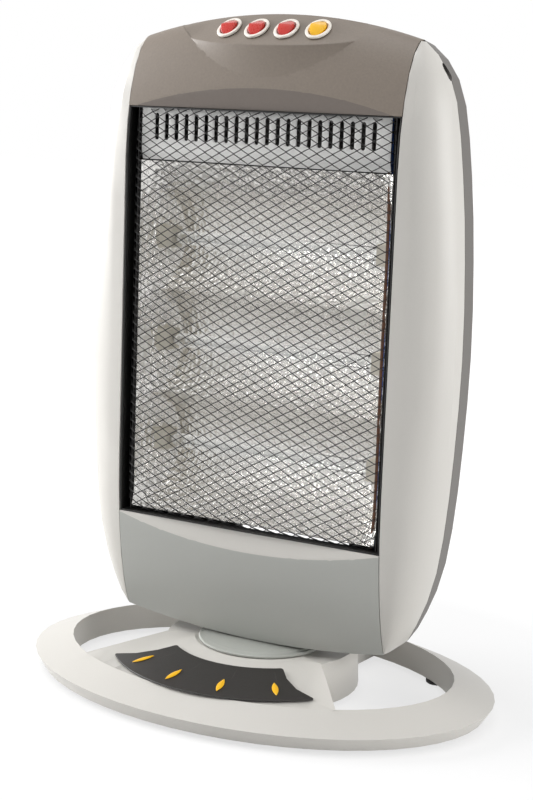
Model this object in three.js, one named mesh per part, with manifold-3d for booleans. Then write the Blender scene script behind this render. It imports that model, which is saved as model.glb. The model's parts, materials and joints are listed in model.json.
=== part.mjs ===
// A free-standing halogen heater: an oval base carries a heating head that swings from side to side.
// Millimetres, +Z up, the front faces -Y. The origin is on the floor under the middle of the base.

import * as THREE from "three";
import { mergeVertices } from "three/addons/utils/BufferGeometryUtils.js";
import Module from "manifold-3d";

const wasm = await Module();
wasm.setup();

// ---------------------------------------------------------------- driving dimensions

const FIT_GAP = 0.35; // clearance between pieces that touch
const SHELL_WALL = 2.5; // moulded plastic
const SHEET = 1; // pressed metal

// base
const BASE_HALF_WIDTH = 180;
const BASE_HALF_DEPTH = 124.3;
const RIM_BAND_X = 30; // ring width at the sides
const RIM_BAND_Y = 23.4; // ring width at the front and back
const BASE_UNDERSIDE = 3; // height of the ring's lower edge over the floor
const SKIRT_TOP = 12.5;
const SKIRT_DRAFT = 5.2;
const FACET_TOP = 17;
const FACET_WIDTH = 10.9;
const LIP_HEIGHT = 23.6;
const FOOT_RADIUS = 8;
const FOOT_SHARE = 0.76; // place across the ring's band
const FOOT_ANGLE = 45; // degrees round the oval

// pedestal and deck
const PIVOT_Y = 5.3;
const PEDESTAL_RADIUS = 70.5;
const PEDESTAL_DRAFT = 1.7;
const PEDESTAL_TOP = 33.4;
const DISH_DEPTH = 1.5;
const DISH_RADIUS = 52;
const DECK_START = 49.5; // radius where a deck leaves the turntable's recess
const DECK_CROWN = 33; // height of a deck there
const DECK_SLOPE = 0.168; // fall of a deck for each millimetre outwards
const RIDGE_RISE = 4.5; // a deck's side ridges stand above its slope
const RIDGE_BLEND = 13; // width over which a ridge runs out
// half angles of the two decks that join the pedestal to the ring: at the pedestal and at the ring's lip
const FRONT_DECK = { side: -1, inner: 65, outer: 51.4 };
const REAR_DECK = { side: 1, inner: 42, outer: 29 };

// dark inset and its markers
const INSET_THICKNESS = 1;
const INSET_LIFT = 1; // clearance under the inset, which lies on a curved deck
const INSET_NEAR = 65.5; // radius about the swing axis
const INSET_OVERHANG = 3.3; // beyond the ring's lip
const INSET_NEAR_ANGLE = 41.9; // half angles of its near and far edges
const INSET_FAR_ANGLE = 48.3;
const INSET_WAIST = 3; // its ends are drawn in by this many degrees
const MARKER_THICKNESS = 0.8;
const MARKER_LENGTH = 17;
const MARKER_WIDTH = 4.8;
const MARKER_COUNT = 4;
const MARKER_INSET = 14.5; // from the inset's far edge to a marker's middle
const MARKER_STEP = 23; // degrees from one marker to the next

// turntable
const COLLAR_RADIUS = 47;
const COLLAR_STEP = 3.2;
const COLLAR_BORE = 38;
const COLLAR_EDGE = 0.8;
const NECK_RADIUS = 14;
const SPIGOT_RADIUS = 8;
const SPIGOT_WALL = 2.5;
const RING_WIDTH = 2.4; // the ring that keeps the head on its spigot
const PLATE_INSET = 22.3; // the steel plate across the head's bottom ends this far inside the seams
const PLATE_RISE = 3.967; // from the inside of the head's edge to the plate
const CRANK_OFFSET = 16; // motor axis behind the swing axis
const SWING_LIMIT = 35; // degrees to each side
const CRANK_PIN_RADIUS = 2;
const YOKE_PLAY = 2.4; // side play of the crank pin in its slot
const MOTOR_RADIUS = 20;
const MOTOR_HEIGHT = 18;

// head
const WINDOW_HALF_WIDTH = 106.3; // middle to the seam of each side panel
const PLATE_HALF_WIDTH = WINDOW_HALF_WIDTH - PLATE_INSET;
const WINDOW_TOP = 416.3;
const WINDOW_BOTTOM = 120.4;
const SPLIT_Y = 1.5; // where the front shells meet the rear cover
const FRONT_DEPTH = 31.8; // seam of the side panel ahead of the split
const FRONT_BOW = 3; // extra depth in the middle of the front
const HEAD_TOP = 482;
const SEAM_TOP = 466.5;
const SEAM_BOTTOM = 45;
const HEAD_BOTTOM = 36.6;
const CHIN_TUCK = 13; // the chin's curve would end this far below its cut edge
const CROWN_START = 378; // where the front starts to curve back at the top
const CHIN_START = 160; // the same at the bottom
const REAR_DEPTH = 50.5;
const SEAM_GAP = 0.5;

// height, and how far a side panel stands out there from its seam to the head's split
const SIDE_OUTLINE = [
  [45, 0],
  [51, 9.1],
  [64, 16.3],
  [84, 24.5],
  [110, 31],
  [160, 36.5],
  [255, 40.2],
  [340, 36.9],
  [400, 30.6],
  [432, 24.6],
  [450, 16.5],
  [461, 7.1],
  [466.5, 0],
];

// control pod
const POD_HALF_WIDTH = 79;
const POD_SAGITTA = 29.5;
const POD_SLOPE = 0.746;
const POD_FLOOR = 437;
const SWITCH_COUNT = 4;
const SWITCH_PITCH = 23;
const SWITCH_Y = -14;
const SWITCH_ARC = 240; // radius of the row of switches in plan
const SWITCH_WIDTH = 17.6;
const SWITCH_LENGTH = 23;
const SWITCH_BODY_DEPTH = 17;
const SWITCH_FLANGE = 2;
const ROCKER_CLEARANCE = 0.6;
const ROCKER_TILT = 9; // degrees that a rocker leans to each side of level

// heating section
const GRILLE_RECESS = 2.4; // behind the front surface
const GRILLE_THICKNESS = 1.6;
const GRILLE_CELLS_X = 5;
const GRILLE_CELLS_Z = 12;
const GRILLE_BAR = 1.8;
const GRILLE_BORDER = 4;
const TUBE_COUNT = 3;
const TUBE_PITCH = 75;
const TUBE_MIDDLE = 247.5;
const TUBE_Y = 3;
const TUBE_RADIUS = 5;
const TUBE_LENGTH = 170;
const TUBE_NIPPLE = 2;
const SOCKET_SIZE = 15;
const REFLECTOR_END_GAP = 8; // from each bracket
const REFLECTOR_RIM_Y = -9;
const TROUGH_DEPTH = 27;
const VENT_TOP = 415.4;
const VENT_FOLD = 385.5;
const VENT_BOTTOM = 379;
const VENT_Y = -22;
const SLOT_COUNT = 22;
const SLOT_PITCH = 8.1;
const SLOT_WIDTH = 3.2;
const SLOT_LOW = 393;
const SLOT_HIGH = 411.5;
const BRACKET_X = WINDOW_HALF_WIDTH - 6.3;
const BRACKET_FRONT = -22.5;
const BRACKET_BACK = 24;
const BRACKET_TOP = 416;
const BRACKET_LOW = 106;
const BRACKET_FLANGE = 16;

// rear cover details
const GRIP_HALF_WIDTH = 52;
const GRIP_Z = 430;
const GRIP_HEIGHT = 26;
const GRIP_DEPTH = 26;
const NOTCH_Z = 446;
const NOTCH_RADIUS = 6;
const REAR_SLOT_COUNT = 9;
const REAR_SLOT_PITCH = 12;
const REAR_SLOT_HALF_WIDTH = 46;
const REAR_SLOT_HEIGHT = 5;
const INLET_Z = 84;
const INLET_RADIUS = 6;
const SCREW_HEAD_RADIUS = 4;
const SCREW_SHANK_RADIUS = 1.8;

// tip-over switch
const PLUNGER_RADIUS = 4;
const PLUNGER_X = 34;

// ---------------------------------------------------------------- surface finishes

const finish = (color, roughness, metalness = 0) => new THREE.MeshStandardMaterial({ color, roughness, metalness });
const PALE_PLASTIC = finish(0xcfccc6, 0.45);
const COVER_PLASTIC = finish(0x6f6862, 0.55);
const REAR_PLASTIC = finish(0x55514d, 0.6);
const DARK_PLASTIC = finish(0x2b2826, 0.55);
const COLLAR_PLASTIC = finish(0xb9bab6, 0.35);
const YELLOW_PLASTIC = finish(0xf2b81e, 0.4);
const RED_PLASTIC = finish(0xb9352b, 0.35);
const BEZEL_PLASTIC = finish(0xe9e2d2, 0.4);
const BLACK_WIRE = finish(0x24211f, 0.5, 0.4);
const HAMMERED_ALUMINIUM = finish(0xd8d6d2, 0.3, 1);
const WHITE_PAINT = finish(0xf2f0ec, 0.5);
const BLACK_PAINT = finish(0x2a2827, 0.6);
const ZINC_STEEL = finish(0xa9abad, 0.4, 0.9);
const QUARTZ = finish(0xe6e9ea, 0.1);
const CERAMIC = finish(0xe8e4da, 0.7);
const RUBBER = finish(0x2d2c2b, 0.85);
const BLUE_LEAD = finish(0x2e62b0, 0.5);
const BROWN_LEAD = finish(0x6a3f28, 0.5);

// ---------------------------------------------------------------- solid helpers

const degrees = THREE.MathUtils.degToRad;
const lerp = THREE.MathUtils.lerp;

function signedVolume(geometry) {
  const position = geometry.getAttribute("position");
  const [a, b, c] = [0, 1, 2].map(() => new THREE.Vector3());
  let sum = 0;
  for (let i = 0; i < geometry.index.count; i += 3) {
    [a, b, c].forEach((v, k) => v.fromBufferAttribute(position, geometry.index.getX(i + k)));
    sum += a.dot(b.cross(c));
  }
  return sum;
}

// Merged positions only, with every face turned outwards.
function cleaned(geometry) {
  const bare = geometry.clone();
  for (const name of ["normal", "uv"]) bare.deleteAttribute(name);
  const merged = mergeVertices(bare, 1e-4);
  if (signedVolume(merged) < 0) {
    const index = merged.index.array;
    for (let i = 0; i < index.length; i += 3) {
      [index[i + 1], index[i + 2]] = [index[i + 2], index[i + 1]];
    }
  }
  return merged;
}

function solid(geometry) {
  const merged = cleaned(geometry);
  return new wasm.Manifold(
    new wasm.Mesh({
      numProp: 3,
      vertProperties: new Float32Array(merged.getAttribute("position").array),
      triVerts: new Uint32Array(merged.index.array),
    }),
  );
}

function geometryOf(manifold) {
  const { vertProperties, triVerts, numProp } = manifold.getMesh();
  const positions = new Float32Array((vertProperties.length / numProp) * 3);
  for (let i = 0; i < positions.length / 3; i++) {
    positions.set(vertProperties.subarray(i * numProp, i * numProp + 3), i * 3);
  }
  return new THREE.BufferGeometry()
    .setAttribute("position", new THREE.BufferAttribute(positions, 3))
    .setIndex(new THREE.BufferAttribute(triVerts, 1));
}

function joined(...geometries) {
  return geometryOf(geometries.map(solid).reduce((sum, next) => sum.add(next)));
}

function cut(geometry, ...tools) {
  return geometryOf(tools.map(solid).reduce((left, tool) => left.subtract(tool), solid(geometry)));
}

function block(x0, x1, y0, y1, z0, z1) {
  return new THREE.BoxGeometry(x1 - x0, y1 - y0, z1 - z0).translate(
    (x0 + x1) / 2,
    (y0 + y1) / 2,
    (z0 + z1) / 2,
  );
}

// A round bar along Z from z0 to z1.
function post(radius, z0, z1, x = 0, y = 0, sides = 20) {
  return new THREE.CylinderGeometry(radius, radius, z1 - z0, sides)
    .rotateX(Math.PI / 2)
    .translate(x, y, (z0 + z1) / 2);
}

// A ring along Z: a closed profile of [radius, height] pairs turned about the axis.
function turned(profile, x = 0, y = 0, sides = 48) {
  const points = [...profile, profile[0]].map(([r, z]) => new THREE.Vector2(r, z));
  return new THREE.LatheGeometry(points, sides).rotateX(Math.PI / 2).translate(x, y, 0);
}

function prism(points, depth) {
  const shape = new THREE.Shape(points.map(([x, y]) => new THREE.Vector2(x, y)));
  return new THREE.ExtrudeGeometry(shape, { depth, bevelEnabled: false });
}

function rectangle(x0, x1, y0, y1) {
  return new THREE.Shape([
    new THREE.Vector2(x0, y0),
    new THREE.Vector2(x1, y0),
    new THREE.Vector2(x1, y1),
    new THREE.Vector2(x0, y1),
  ]);
}

// A closed body between two grids of points that share their edges' order.
function between(front, back, columns, rows) {
  const positions = [];
  for (const face of [front, back]) {
    for (let i = 0; i <= columns; i++) {
      for (let j = 0; j <= rows; j++) positions.push(...face(i / columns, j / rows));
    }
  }
  const layer = (columns + 1) * (rows + 1);
  const at = (side, i, j) => side * layer + i * (rows + 1) + j;
  const index = [];
  const quad = (a, b, c, d) => index.push(a, b, c, a, c, d);
  for (let i = 0; i < columns; i++) {
    for (let j = 0; j < rows; j++) {
      quad(at(0, i, j), at(0, i + 1, j), at(0, i + 1, j + 1), at(0, i, j + 1));
      quad(at(1, i, j), at(1, i, j + 1), at(1, i + 1, j + 1), at(1, i + 1, j));
    }
    quad(at(0, i, 0), at(1, i, 0), at(1, i + 1, 0), at(0, i + 1, 0));
    quad(at(0, i, rows), at(0, i + 1, rows), at(1, i + 1, rows), at(1, i, rows));
  }
  for (let j = 0; j < rows; j++) {
    quad(at(0, 0, j), at(0, 0, j + 1), at(1, 0, j + 1), at(1, 0, j));
    quad(at(0, columns, j), at(1, columns, j), at(1, columns, j + 1), at(0, columns, j + 1));
  }
  return cleaned(
    new THREE.BufferGeometry()
      .setAttribute("position", new THREE.Float32BufferAttribute(positions, 3))
      .setIndex(index),
  );
}

// A closed body through loops of points, capped at both ends. flat turns a loop's points into 2-D
// points that run anticlockwise.
function lofted(loops, flat) {
  const count = loops[0].length;
  const index = [];
  for (let k = 0; k < loops.length - 1; k++) {
    for (let i = 0; i < count; i++) {
      const next = (i + 1) % count;
      const [a, b, c, d] = [k * count + i, k * count + next, (k + 1) * count + next, (k + 1) * count + i];
      index.push(a, b, c, a, c, d);
    }
  }
  const last = (loops.length - 1) * count;
  for (const [a, b, c] of THREE.ShapeUtils.triangulateShape(loops[0].map(flat), [])) index.push(c, b, a);
  for (const [a, b, c] of THREE.ShapeUtils.triangulateShape(loops.at(-1).map(flat), [])) {
    index.push(last + a, last + b, last + c);
  }
  return cleaned(
    new THREE.BufferGeometry()
      .setAttribute("position", new THREE.Float32BufferAttribute(loops.flat(2), 3))
      .setIndex(index),
  );
}

const model = new THREE.Group();
const base = new THREE.Group();
const head = new THREE.Group();
model.add(base, head);

function piece(parent, name, geometry, material) {
  const mesh = new THREE.Mesh(geometry, material);
  mesh.name = name;
  parent.add(mesh);
  return mesh;
}

// ---------------------------------------------------------------- base

// A body that runs round the oval: its section is a list of [share of the band inwards, height].
function ovalRing(section, steps = 52) {
  const positions = [];
  const index = [];
  for (let i = 0; i < steps; i++) {
    const angle = (2 * Math.PI * i) / steps;
    for (const [share, z] of section) {
      positions.push(
        (BASE_HALF_WIDTH - RIM_BAND_X * share) * Math.cos(angle),
        (BASE_HALF_DEPTH - RIM_BAND_Y * share) * Math.sin(angle),
        z,
      );
    }
  }
  const sides = section.length;
  for (let i = 0; i < steps; i++) {
    for (let j = 0; j < sides; j++) {
      const [a, b] = [i * sides + j, i * sides + ((j + 1) % sides)];
      const [d, c] = [((i + 1) % steps) * sides + j, ((i + 1) % steps) * sides + ((j + 1) % sides)];
      index.push(a, b, c, a, c, d);
    }
  }
  return cleaned(
    new THREE.BufferGeometry()
      .setAttribute("position", new THREE.Float32BufferAttribute(positions, 3))
      .setIndex(index),
  );
}

const BAND = (RIM_BAND_X + RIM_BAND_Y) / 2;
const FACET_SHARE = FACET_WIDTH / BAND;
const WALL_SHARE = SHELL_WALL / BAND;
const DRAFT_SHARE = SKIRT_DRAFT / BAND;

// Distance from the swing axis to an oval of the ring's band, along an angle from a deck's middle line.
function reach(angle, side, share) {
  const a = BASE_HALF_WIDTH - RIM_BAND_X * share;
  const b = BASE_HALF_DEPTH - RIM_BAND_Y * share;
  const [dx, dy] = [Math.sin(angle), side * Math.cos(angle)];
  const p = (dx / a) ** 2 + (dy / b) ** 2;
  const q = (2 * PIVOT_Y * dy) / b ** 2;
  const r = (PIVOT_Y / b) ** 2 - 1;
  return (-q + Math.sqrt(q * q - 4 * p * r)) / (2 * p);
}

// A point about the swing axis, at a radius and an angle from a deck's middle line.
const polar = (radius, angle, side) => [radius * Math.sin(angle), PIVOT_Y + side * radius * Math.cos(angle)];

const LIP_SHARE = 0.95; // the decks end just inside the ring's lip

function ridgeEnds(deck) {
  const outer = degrees(deck.outer);
  return [
    polar(PEDESTAL_RADIUS, degrees(deck.inner), deck.side),
    polar(reach(outer, deck.side, LIP_SHARE), outer, deck.side),
  ];
}

// Height of a deck: a cone about the swing axis that rises to a ridge along each side.
function deckHeight(deck, x, y) {
  const [[x0, y0], [x1, y1]] = ridgeEnds(deck);
  const length = Math.hypot(x1 - x0, y1 - y0);
  const inside = ((y1 - y0) * (Math.abs(x) - x0) - (x1 - x0) * (y - y0)) / length;
  const away = Math.abs(inside);
  const rise = RIDGE_RISE * Math.max(0, 1 - away / RIDGE_BLEND) ** 2;
  const radius = Math.hypot(x, y - PIVOT_Y);
  const fade = Math.min(1, Math.max(0, (radius - DECK_START) / (PEDESTAL_RADIUS - DECK_START)));
  return DECK_CROWN - DECK_SLOPE * (radius - DECK_START) + rise * fade;
}

const DECK_COLUMNS = 14;
const DECK_ROWS = 4; // the first one crosses the pedestal

function deckSpot(deck, u, v, share) {
  const across = share * (2 * u - 1);
  const inner = degrees(deck.inner) * across;
  const outer = degrees(deck.outer) * across;
  if (v === 0) return polar(DECK_START, inner, deck.side);
  const near = polar(PEDESTAL_RADIUS, inner, deck.side);
  const far = polar(reach(outer, deck.side, LIP_SHARE), outer, deck.side);
  const along = (v * DECK_ROWS - 1) / (DECK_ROWS - 1);
  return [lerp(near[0], far[0], along), lerp(near[1], far[1], along)];
}

// The solid between a deck's surface, lowered by drop, and a level plane below or above it.
function deckSolid(deck, share, drop, level) {
  const surface = (u, v) => {
    const [x, y] = deckSpot(deck, u, v, share);
    return [x, y, deckHeight(deck, x, y) - drop];
  };
  const flat = (u, v) => [...deckSpot(deck, u, v, share), level];
  return between(surface, flat, DECK_COLUMNS, DECK_ROWS);
}

function pedestal(inset, floor) {
  const slope = PEDESTAL_DRAFT / (PEDESTAL_TOP - BASE_UNDERSIDE);
  const foot = PEDESTAL_RADIUS - inset + slope * (PEDESTAL_TOP - floor);
  const dish = PEDESTAL_TOP - DISH_DEPTH - inset;
  const rim = inset ? dish : PEDESTAL_TOP;
  const profile = [
    [0, floor],
    [foot, floor],
    [PEDESTAL_RADIUS - inset, rim],
    [DISH_RADIUS, dish],
    [0, dish],
  ];
  return new THREE.LatheGeometry(profile.map(([r, z]) => new THREE.Vector2(r, z)), 40)
    .rotateX(Math.PI / 2)
    .translate(0, PIVOT_Y, 0);
}

const ABOVE_BASE = 60; // a level clear of the base
const DECK_HOLLOW_SHARE = 0.95;

// Ring, pedestal and both decks as one filled shape, drawn in by a wall's thickness when it has one.
function baseForm(section, wall, floor) {
  const share = wall ? DECK_HOLLOW_SHARE : 1;
  const decks = [FRONT_DECK, REAR_DECK];
  const middle = cut(pedestal(wall, floor), ...decks.map((deck) => deckSolid(deck, 1, wall, ABOVE_BASE)));
  return joined(ovalRing(section), middle, ...decks.map((deck) => deckSolid(deck, share, wall, floor)));
}

function baseShell() {
  const outer = baseForm(
    [
      [DRAFT_SHARE, BASE_UNDERSIDE],
      [0, SKIRT_TOP],
      [FACET_SHARE, FACET_TOP],
      [1, LIP_HEIGHT],
      [1, BASE_UNDERSIDE],
    ],
    0,
    BASE_UNDERSIDE,
  );
  const open = BASE_UNDERSIDE - 1;
  const hollow = baseForm(
    [
      [DRAFT_SHARE + WALL_SHARE, open],
      [WALL_SHARE * 1.3, SKIRT_TOP - 1.2],
      [FACET_SHARE, FACET_TOP - SHELL_WALL],
      [1 - WALL_SHARE, LIP_HEIGHT - SHELL_WALL * 1.1],
      [1 - WALL_SHARE, open],
    ],
    SHELL_WALL,
    open,
  );
  const bosses = footPlaces().map(([x, y]) => post(FOOT_RADIUS + 1, BASE_UNDERSIDE, ABOVE_BASE, x, y, 16));
  const inside = geometryOf(bosses.map(solid).reduce((a, b) => a.add(b)).intersect(solid(outer)));
  const wireHole = post(SPIGOT_RADIUS, BASE_UNDERSIDE, PEDESTAL_TOP + 1, 0, PIVOT_Y);
  return cut(joined(cut(outer, hollow), inside), wireHole);
}

function footPlaces() {
  const a = BASE_HALF_WIDTH - RIM_BAND_X * FOOT_SHARE;
  const b = BASE_HALF_DEPTH - RIM_BAND_Y * FOOT_SHARE;
  return [-180 + FOOT_ANGLE, -FOOT_ANGLE, 180 - FOOT_ANGLE, FOOT_ANGLE].map((turn) => [
    a * Math.cos(degrees(turn)),
    b * Math.sin(degrees(turn)),
  ]);
}

function rubberFoot() {
  const top = BASE_UNDERSIDE - FIT_GAP;
  return new THREE.LatheGeometry(
    [[0, 0], [FOOT_RADIUS - 1, 0], [FOOT_RADIUS, 1], [FOOT_RADIUS, top], [0, top]].map(
      ([r, z]) => new THREE.Vector2(r, z),
    ),
    14,
  ).rotateX(Math.PI / 2);
}

const INSET_FAR = reach(0, FRONT_DECK.side, 1) + INSET_OVERHANG;

// The inset lies on the front deck: near edge and far edge are arcs about the swing axis.
function insetPoint(u, v, lift) {
  const side = 2 * u - 1;
  const half = lerp(INSET_NEAR_ANGLE, INSET_FAR_ANGLE, v) - INSET_WAIST * Math.sin(Math.PI * v);
  const [x, y] = polar(lerp(INSET_NEAR, INSET_FAR, v), degrees(half * side), FRONT_DECK.side);
  return [x, y, deckHeight(FRONT_DECK, x, y) + lift];
}

function darkInset() {
  const top = (u, v) => insetPoint(u, v, INSET_LIFT + INSET_THICKNESS);
  return between(top, (u, v) => insetPoint(u, v, INSET_LIFT), 14, 3);
}

// A leaf-shaped marker that lies on the inset, its long axis towards the swing axis.
function markerLeaf() {
  const outline = [];
  for (let i = 0; i < 12; i++) {
    const share = i / 6;
    const side = share <= 1 ? 1 : -1;
    const along = share <= 1 ? share : 2 - share;
    outline.push([
      (side * MARKER_WIDTH * Math.sin(Math.PI * along)) / 2,
      (along - 0.5) * MARKER_LENGTH,
    ]);
  }
  return prism(outline, MARKER_THICKNESS);
}

function addMarkers() {
  const tilt = Math.atan(DECK_SLOPE);
  for (let i = 0; i < MARKER_COUNT; i++) {
    const angle = degrees((i - (MARKER_COUNT - 1) / 2) * MARKER_STEP);
    const [x, y] = polar(INSET_FAR - MARKER_INSET, angle, FRONT_DECK.side);
    const turn = new THREE.Group();
    turn.position.set(x, y, deckHeight(FRONT_DECK, x, y) + INSET_LIFT + INSET_THICKNESS + FIT_GAP);
    turn.rotation.z = angle;
    const mesh = piece(turn, `base_marker_${i + 1}`, markerLeaf(), YELLOW_PLASTIC);
    mesh.rotation.x = tilt;
    base.add(turn);
  }
}

const PLATE_RADIUS = PEDESTAL_RADIUS - SHELL_WALL - FIT_GAP;

function bottomPlate() {
  const plate = post(PLATE_RADIUS, BASE_UNDERSIDE, BASE_UNDERSIDE + 2, 0, PIVOT_Y, 56);
  const hole = post(PLUNGER_RADIUS + 0.6, 0, 2 * BASE_UNDERSIDE, PLUNGER_X, PIVOT_Y);
  return cut(plate, hole);
}

const SWITCH_CASE_FLOOR = 13;

function tipSwitchCase() {
  return joined(
    block(PLUNGER_X - 14, PLUNGER_X + 10, PIVOT_Y - 5, PIVOT_Y + 5, SWITCH_CASE_FLOOR, 25),
    block(PLUNGER_X - 14, PLUNGER_X - 10, PIVOT_Y - 5, PIVOT_Y + 5, BASE_UNDERSIDE + 2 + FIT_GAP, 14),
  );
}

function tipPlunger() {
  const collarZ = BASE_UNDERSIDE + 2 + FIT_GAP;
  const profile = [
    [0, 0],
    [PLUNGER_RADIUS - 1, 0],
    [PLUNGER_RADIUS, 1],
    [PLUNGER_RADIUS, collarZ + 4],
    [PLUNGER_RADIUS + 2, collarZ + 4],
    [PLUNGER_RADIUS + 2, collarZ + 5.5],
    [1.5, collarZ + 5.5],
    [1.5, SWITCH_CASE_FLOOR - FIT_GAP],
    [0, SWITCH_CASE_FLOOR - FIT_GAP],
  ];
  return new THREE.LatheGeometry(profile.map(([r, z]) => new THREE.Vector2(r, z)), 16)
    .rotateX(Math.PI / 2)
    .translate(PLUNGER_X, PIVOT_Y, 0);
}

// ---------------------------------------------------------------- turntable

const DISH_FLOOR = PEDESTAL_TOP - DISH_DEPTH;
const PIVOT_PLATE_LOW = DISH_FLOOR + FIT_GAP;
const PIVOT_PLATE_TOP = PIVOT_PLATE_LOW + 1.5;
const COLLAR_LEDGE = DISH_FLOOR + 2.9;
const COLLAR_TOP = COLLAR_LEDGE + 1.2;
const HEAD_PLATE_LOW = arcHeight(PLATE_HALF_WIDTH, HEAD_BOTTOM, SEAM_BOTTOM) + SHELL_WALL + PLATE_RISE;
const HEAD_PLATE_TOP = HEAD_PLATE_LOW + 2;
const YOKE_LOW = HEAD_PLATE_TOP + FIT_GAP;
const YOKE_TOP = YOKE_LOW + 3;
const RING_TOP = YOKE_TOP + FIT_GAP + 1.5;
const SPIGOT_TOP = RING_TOP + 0.6;
const CRANK_RADIUS = CRANK_OFFSET * Math.sin(degrees(SWING_LIMIT));
const CRANK_LOW = SPIGOT_TOP + 0.6;
const CRANK_HIGH = CRANK_LOW + 3;

// The fixed half of the swivel: a steel disc with a hollow spigot that the head turns on.
function pivotPlate() {
  const disc = post(COLLAR_BORE - 2 * FIT_GAP, PIVOT_PLATE_LOW, PIVOT_PLATE_TOP, 0, PIVOT_Y, 40);
  const spigot = post(SPIGOT_RADIUS, PIVOT_PLATE_LOW, SPIGOT_TOP, 0, PIVOT_Y, 24);
  const bore = post(SPIGOT_RADIUS - SPIGOT_WALL, PIVOT_PLATE_LOW - 1, SPIGOT_TOP + 1, 0, PIVOT_Y, 24);
  return cut(joined(disc, spigot), bore);
}

// A slotted arm clamped on the spigot, which the crank pin pushes against.
function swingYoke() {
  const halfSlot = CRANK_PIN_RADIUS + YOKE_PLAY;
  const halfArm = halfSlot + 3;
  const near = PIVOT_Y + CRANK_OFFSET * Math.cos(degrees(SWING_LIMIT)) - CRANK_PIN_RADIUS - 0.8;
  const far = PIVOT_Y + CRANK_OFFSET + CRANK_RADIUS + CRANK_PIN_RADIUS + 0.8;
  const hub = post(SPIGOT_RADIUS + 4, YOKE_LOW, YOKE_TOP, 0, PIVOT_Y, 24);
  const arm = block(-halfArm, halfArm, PIVOT_Y, far + 2.5, YOKE_LOW, YOKE_TOP);
  const bore = post(SPIGOT_RADIUS + FIT_GAP, YOKE_LOW - 1, YOKE_TOP + 1, 0, PIVOT_Y, 24);
  const slot = block(-halfSlot, halfSlot, near, far, YOKE_LOW - 1, YOKE_TOP + 1);
  return cut(joined(hub, arm), bore, slot);
}

// The turning half, seen under the head as a two-step disc; its neck goes up into the head.
function neckCollar() {
  const low = DISH_FLOOR + FIT_GAP;
  const under = PIVOT_PLATE_TOP + FIT_GAP;
  const top = HEAD_PLATE_LOW - FIT_GAP;
  const upper = COLLAR_RADIUS - COLLAR_STEP;
  const bore = SPIGOT_RADIUS + FIT_GAP;
  return turned(
    [
      [COLLAR_BORE, low],
      [COLLAR_RADIUS - COLLAR_EDGE, low],
      [COLLAR_RADIUS, low + COLLAR_EDGE],
      [COLLAR_RADIUS, COLLAR_LEDGE - COLLAR_EDGE],
      [COLLAR_RADIUS - COLLAR_EDGE, COLLAR_LEDGE],
      [upper, COLLAR_LEDGE],
      [upper - COLLAR_EDGE, COLLAR_TOP],
      [NECK_RADIUS, COLLAR_TOP],
      [NECK_RADIUS, top],
      [bore, top],
      [bore, under],
      [COLLAR_BORE, under],
    ],
    0,
    PIVOT_Y,
    40,
  );
}

function headPlate() {
  const plate = block(-PLATE_HALF_WIDTH, PLATE_HALF_WIDTH, -7, 24, HEAD_PLATE_LOW, HEAD_PLATE_TOP);
  return cut(plate, post(SPIGOT_RADIUS + FIT_GAP, HEAD_PLATE_LOW - 1, HEAD_PLATE_TOP + 1, 0, PIVOT_Y));
}

function retainingRing() {
  return turned(
    [
      [SPIGOT_RADIUS + FIT_GAP, YOKE_TOP + FIT_GAP],
      [SPIGOT_RADIUS + RING_WIDTH, YOKE_TOP + FIT_GAP],
      [SPIGOT_RADIUS + RING_WIDTH, RING_TOP],
      [SPIGOT_RADIUS + FIT_GAP, RING_TOP],
    ],
    0,
    PIVOT_Y,
    24,
  );
}

const MOTOR_LOW = CRANK_HIGH + 1.5;
const NECK_HOLE = NECK_RADIUS + 0.6;

// A flat synchronous motor on two legs that stand clear of the yoke's sweep.
function swingMotor() {
  const y = PIVOT_Y + CRANK_OFFSET;
  const canTop = MOTOR_LOW + MOTOR_HEIGHT;
  const legX = MOTOR_RADIUS + 3;
  const legY = PIVOT_Y + 8.7;
  const legs = [-legX, legX].map((x) => post(2.5, HEAD_PLATE_TOP + FIT_GAP, MOTOR_LOW + 2, x, legY, 12));
  const ears = block(-legX, legX, legY - 2.5, legY + 2.5, MOTOR_LOW, MOTOR_LOW + 2);
  const can = post(MOTOR_RADIUS, MOTOR_LOW, canTop, 0, y, 28);
  const gearHouse = post(MOTOR_RADIUS * 0.6, canTop - 1, canTop + 4, 0, y, 20);
  const shaftHole = post(3, MOTOR_LOW - 1, MOTOR_LOW + 8, 0, y, 16);
  return cut(joined(can, gearHouse, ears, ...legs), shaftHole);
}

function crankArm() {
  const y = PIVOT_Y + CRANK_OFFSET;
  const pinY = y + CRANK_RADIUS;
  return joined(
    post(4.4, CRANK_LOW, CRANK_HIGH, 0, y, 20),
    block(-3, 3, y, pinY, CRANK_LOW, CRANK_HIGH),
    post(3.6, CRANK_LOW, CRANK_HIGH, 0, pinY, 20),
    post(CRANK_PIN_RADIUS, YOKE_LOW + FIT_GAP, CRANK_HIGH, 0, pinY, 16),
    post(2.6, CRANK_LOW, MOTOR_LOW + 7, 0, y, 16),
  );
}

// ---------------------------------------------------------------- head shells

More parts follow.
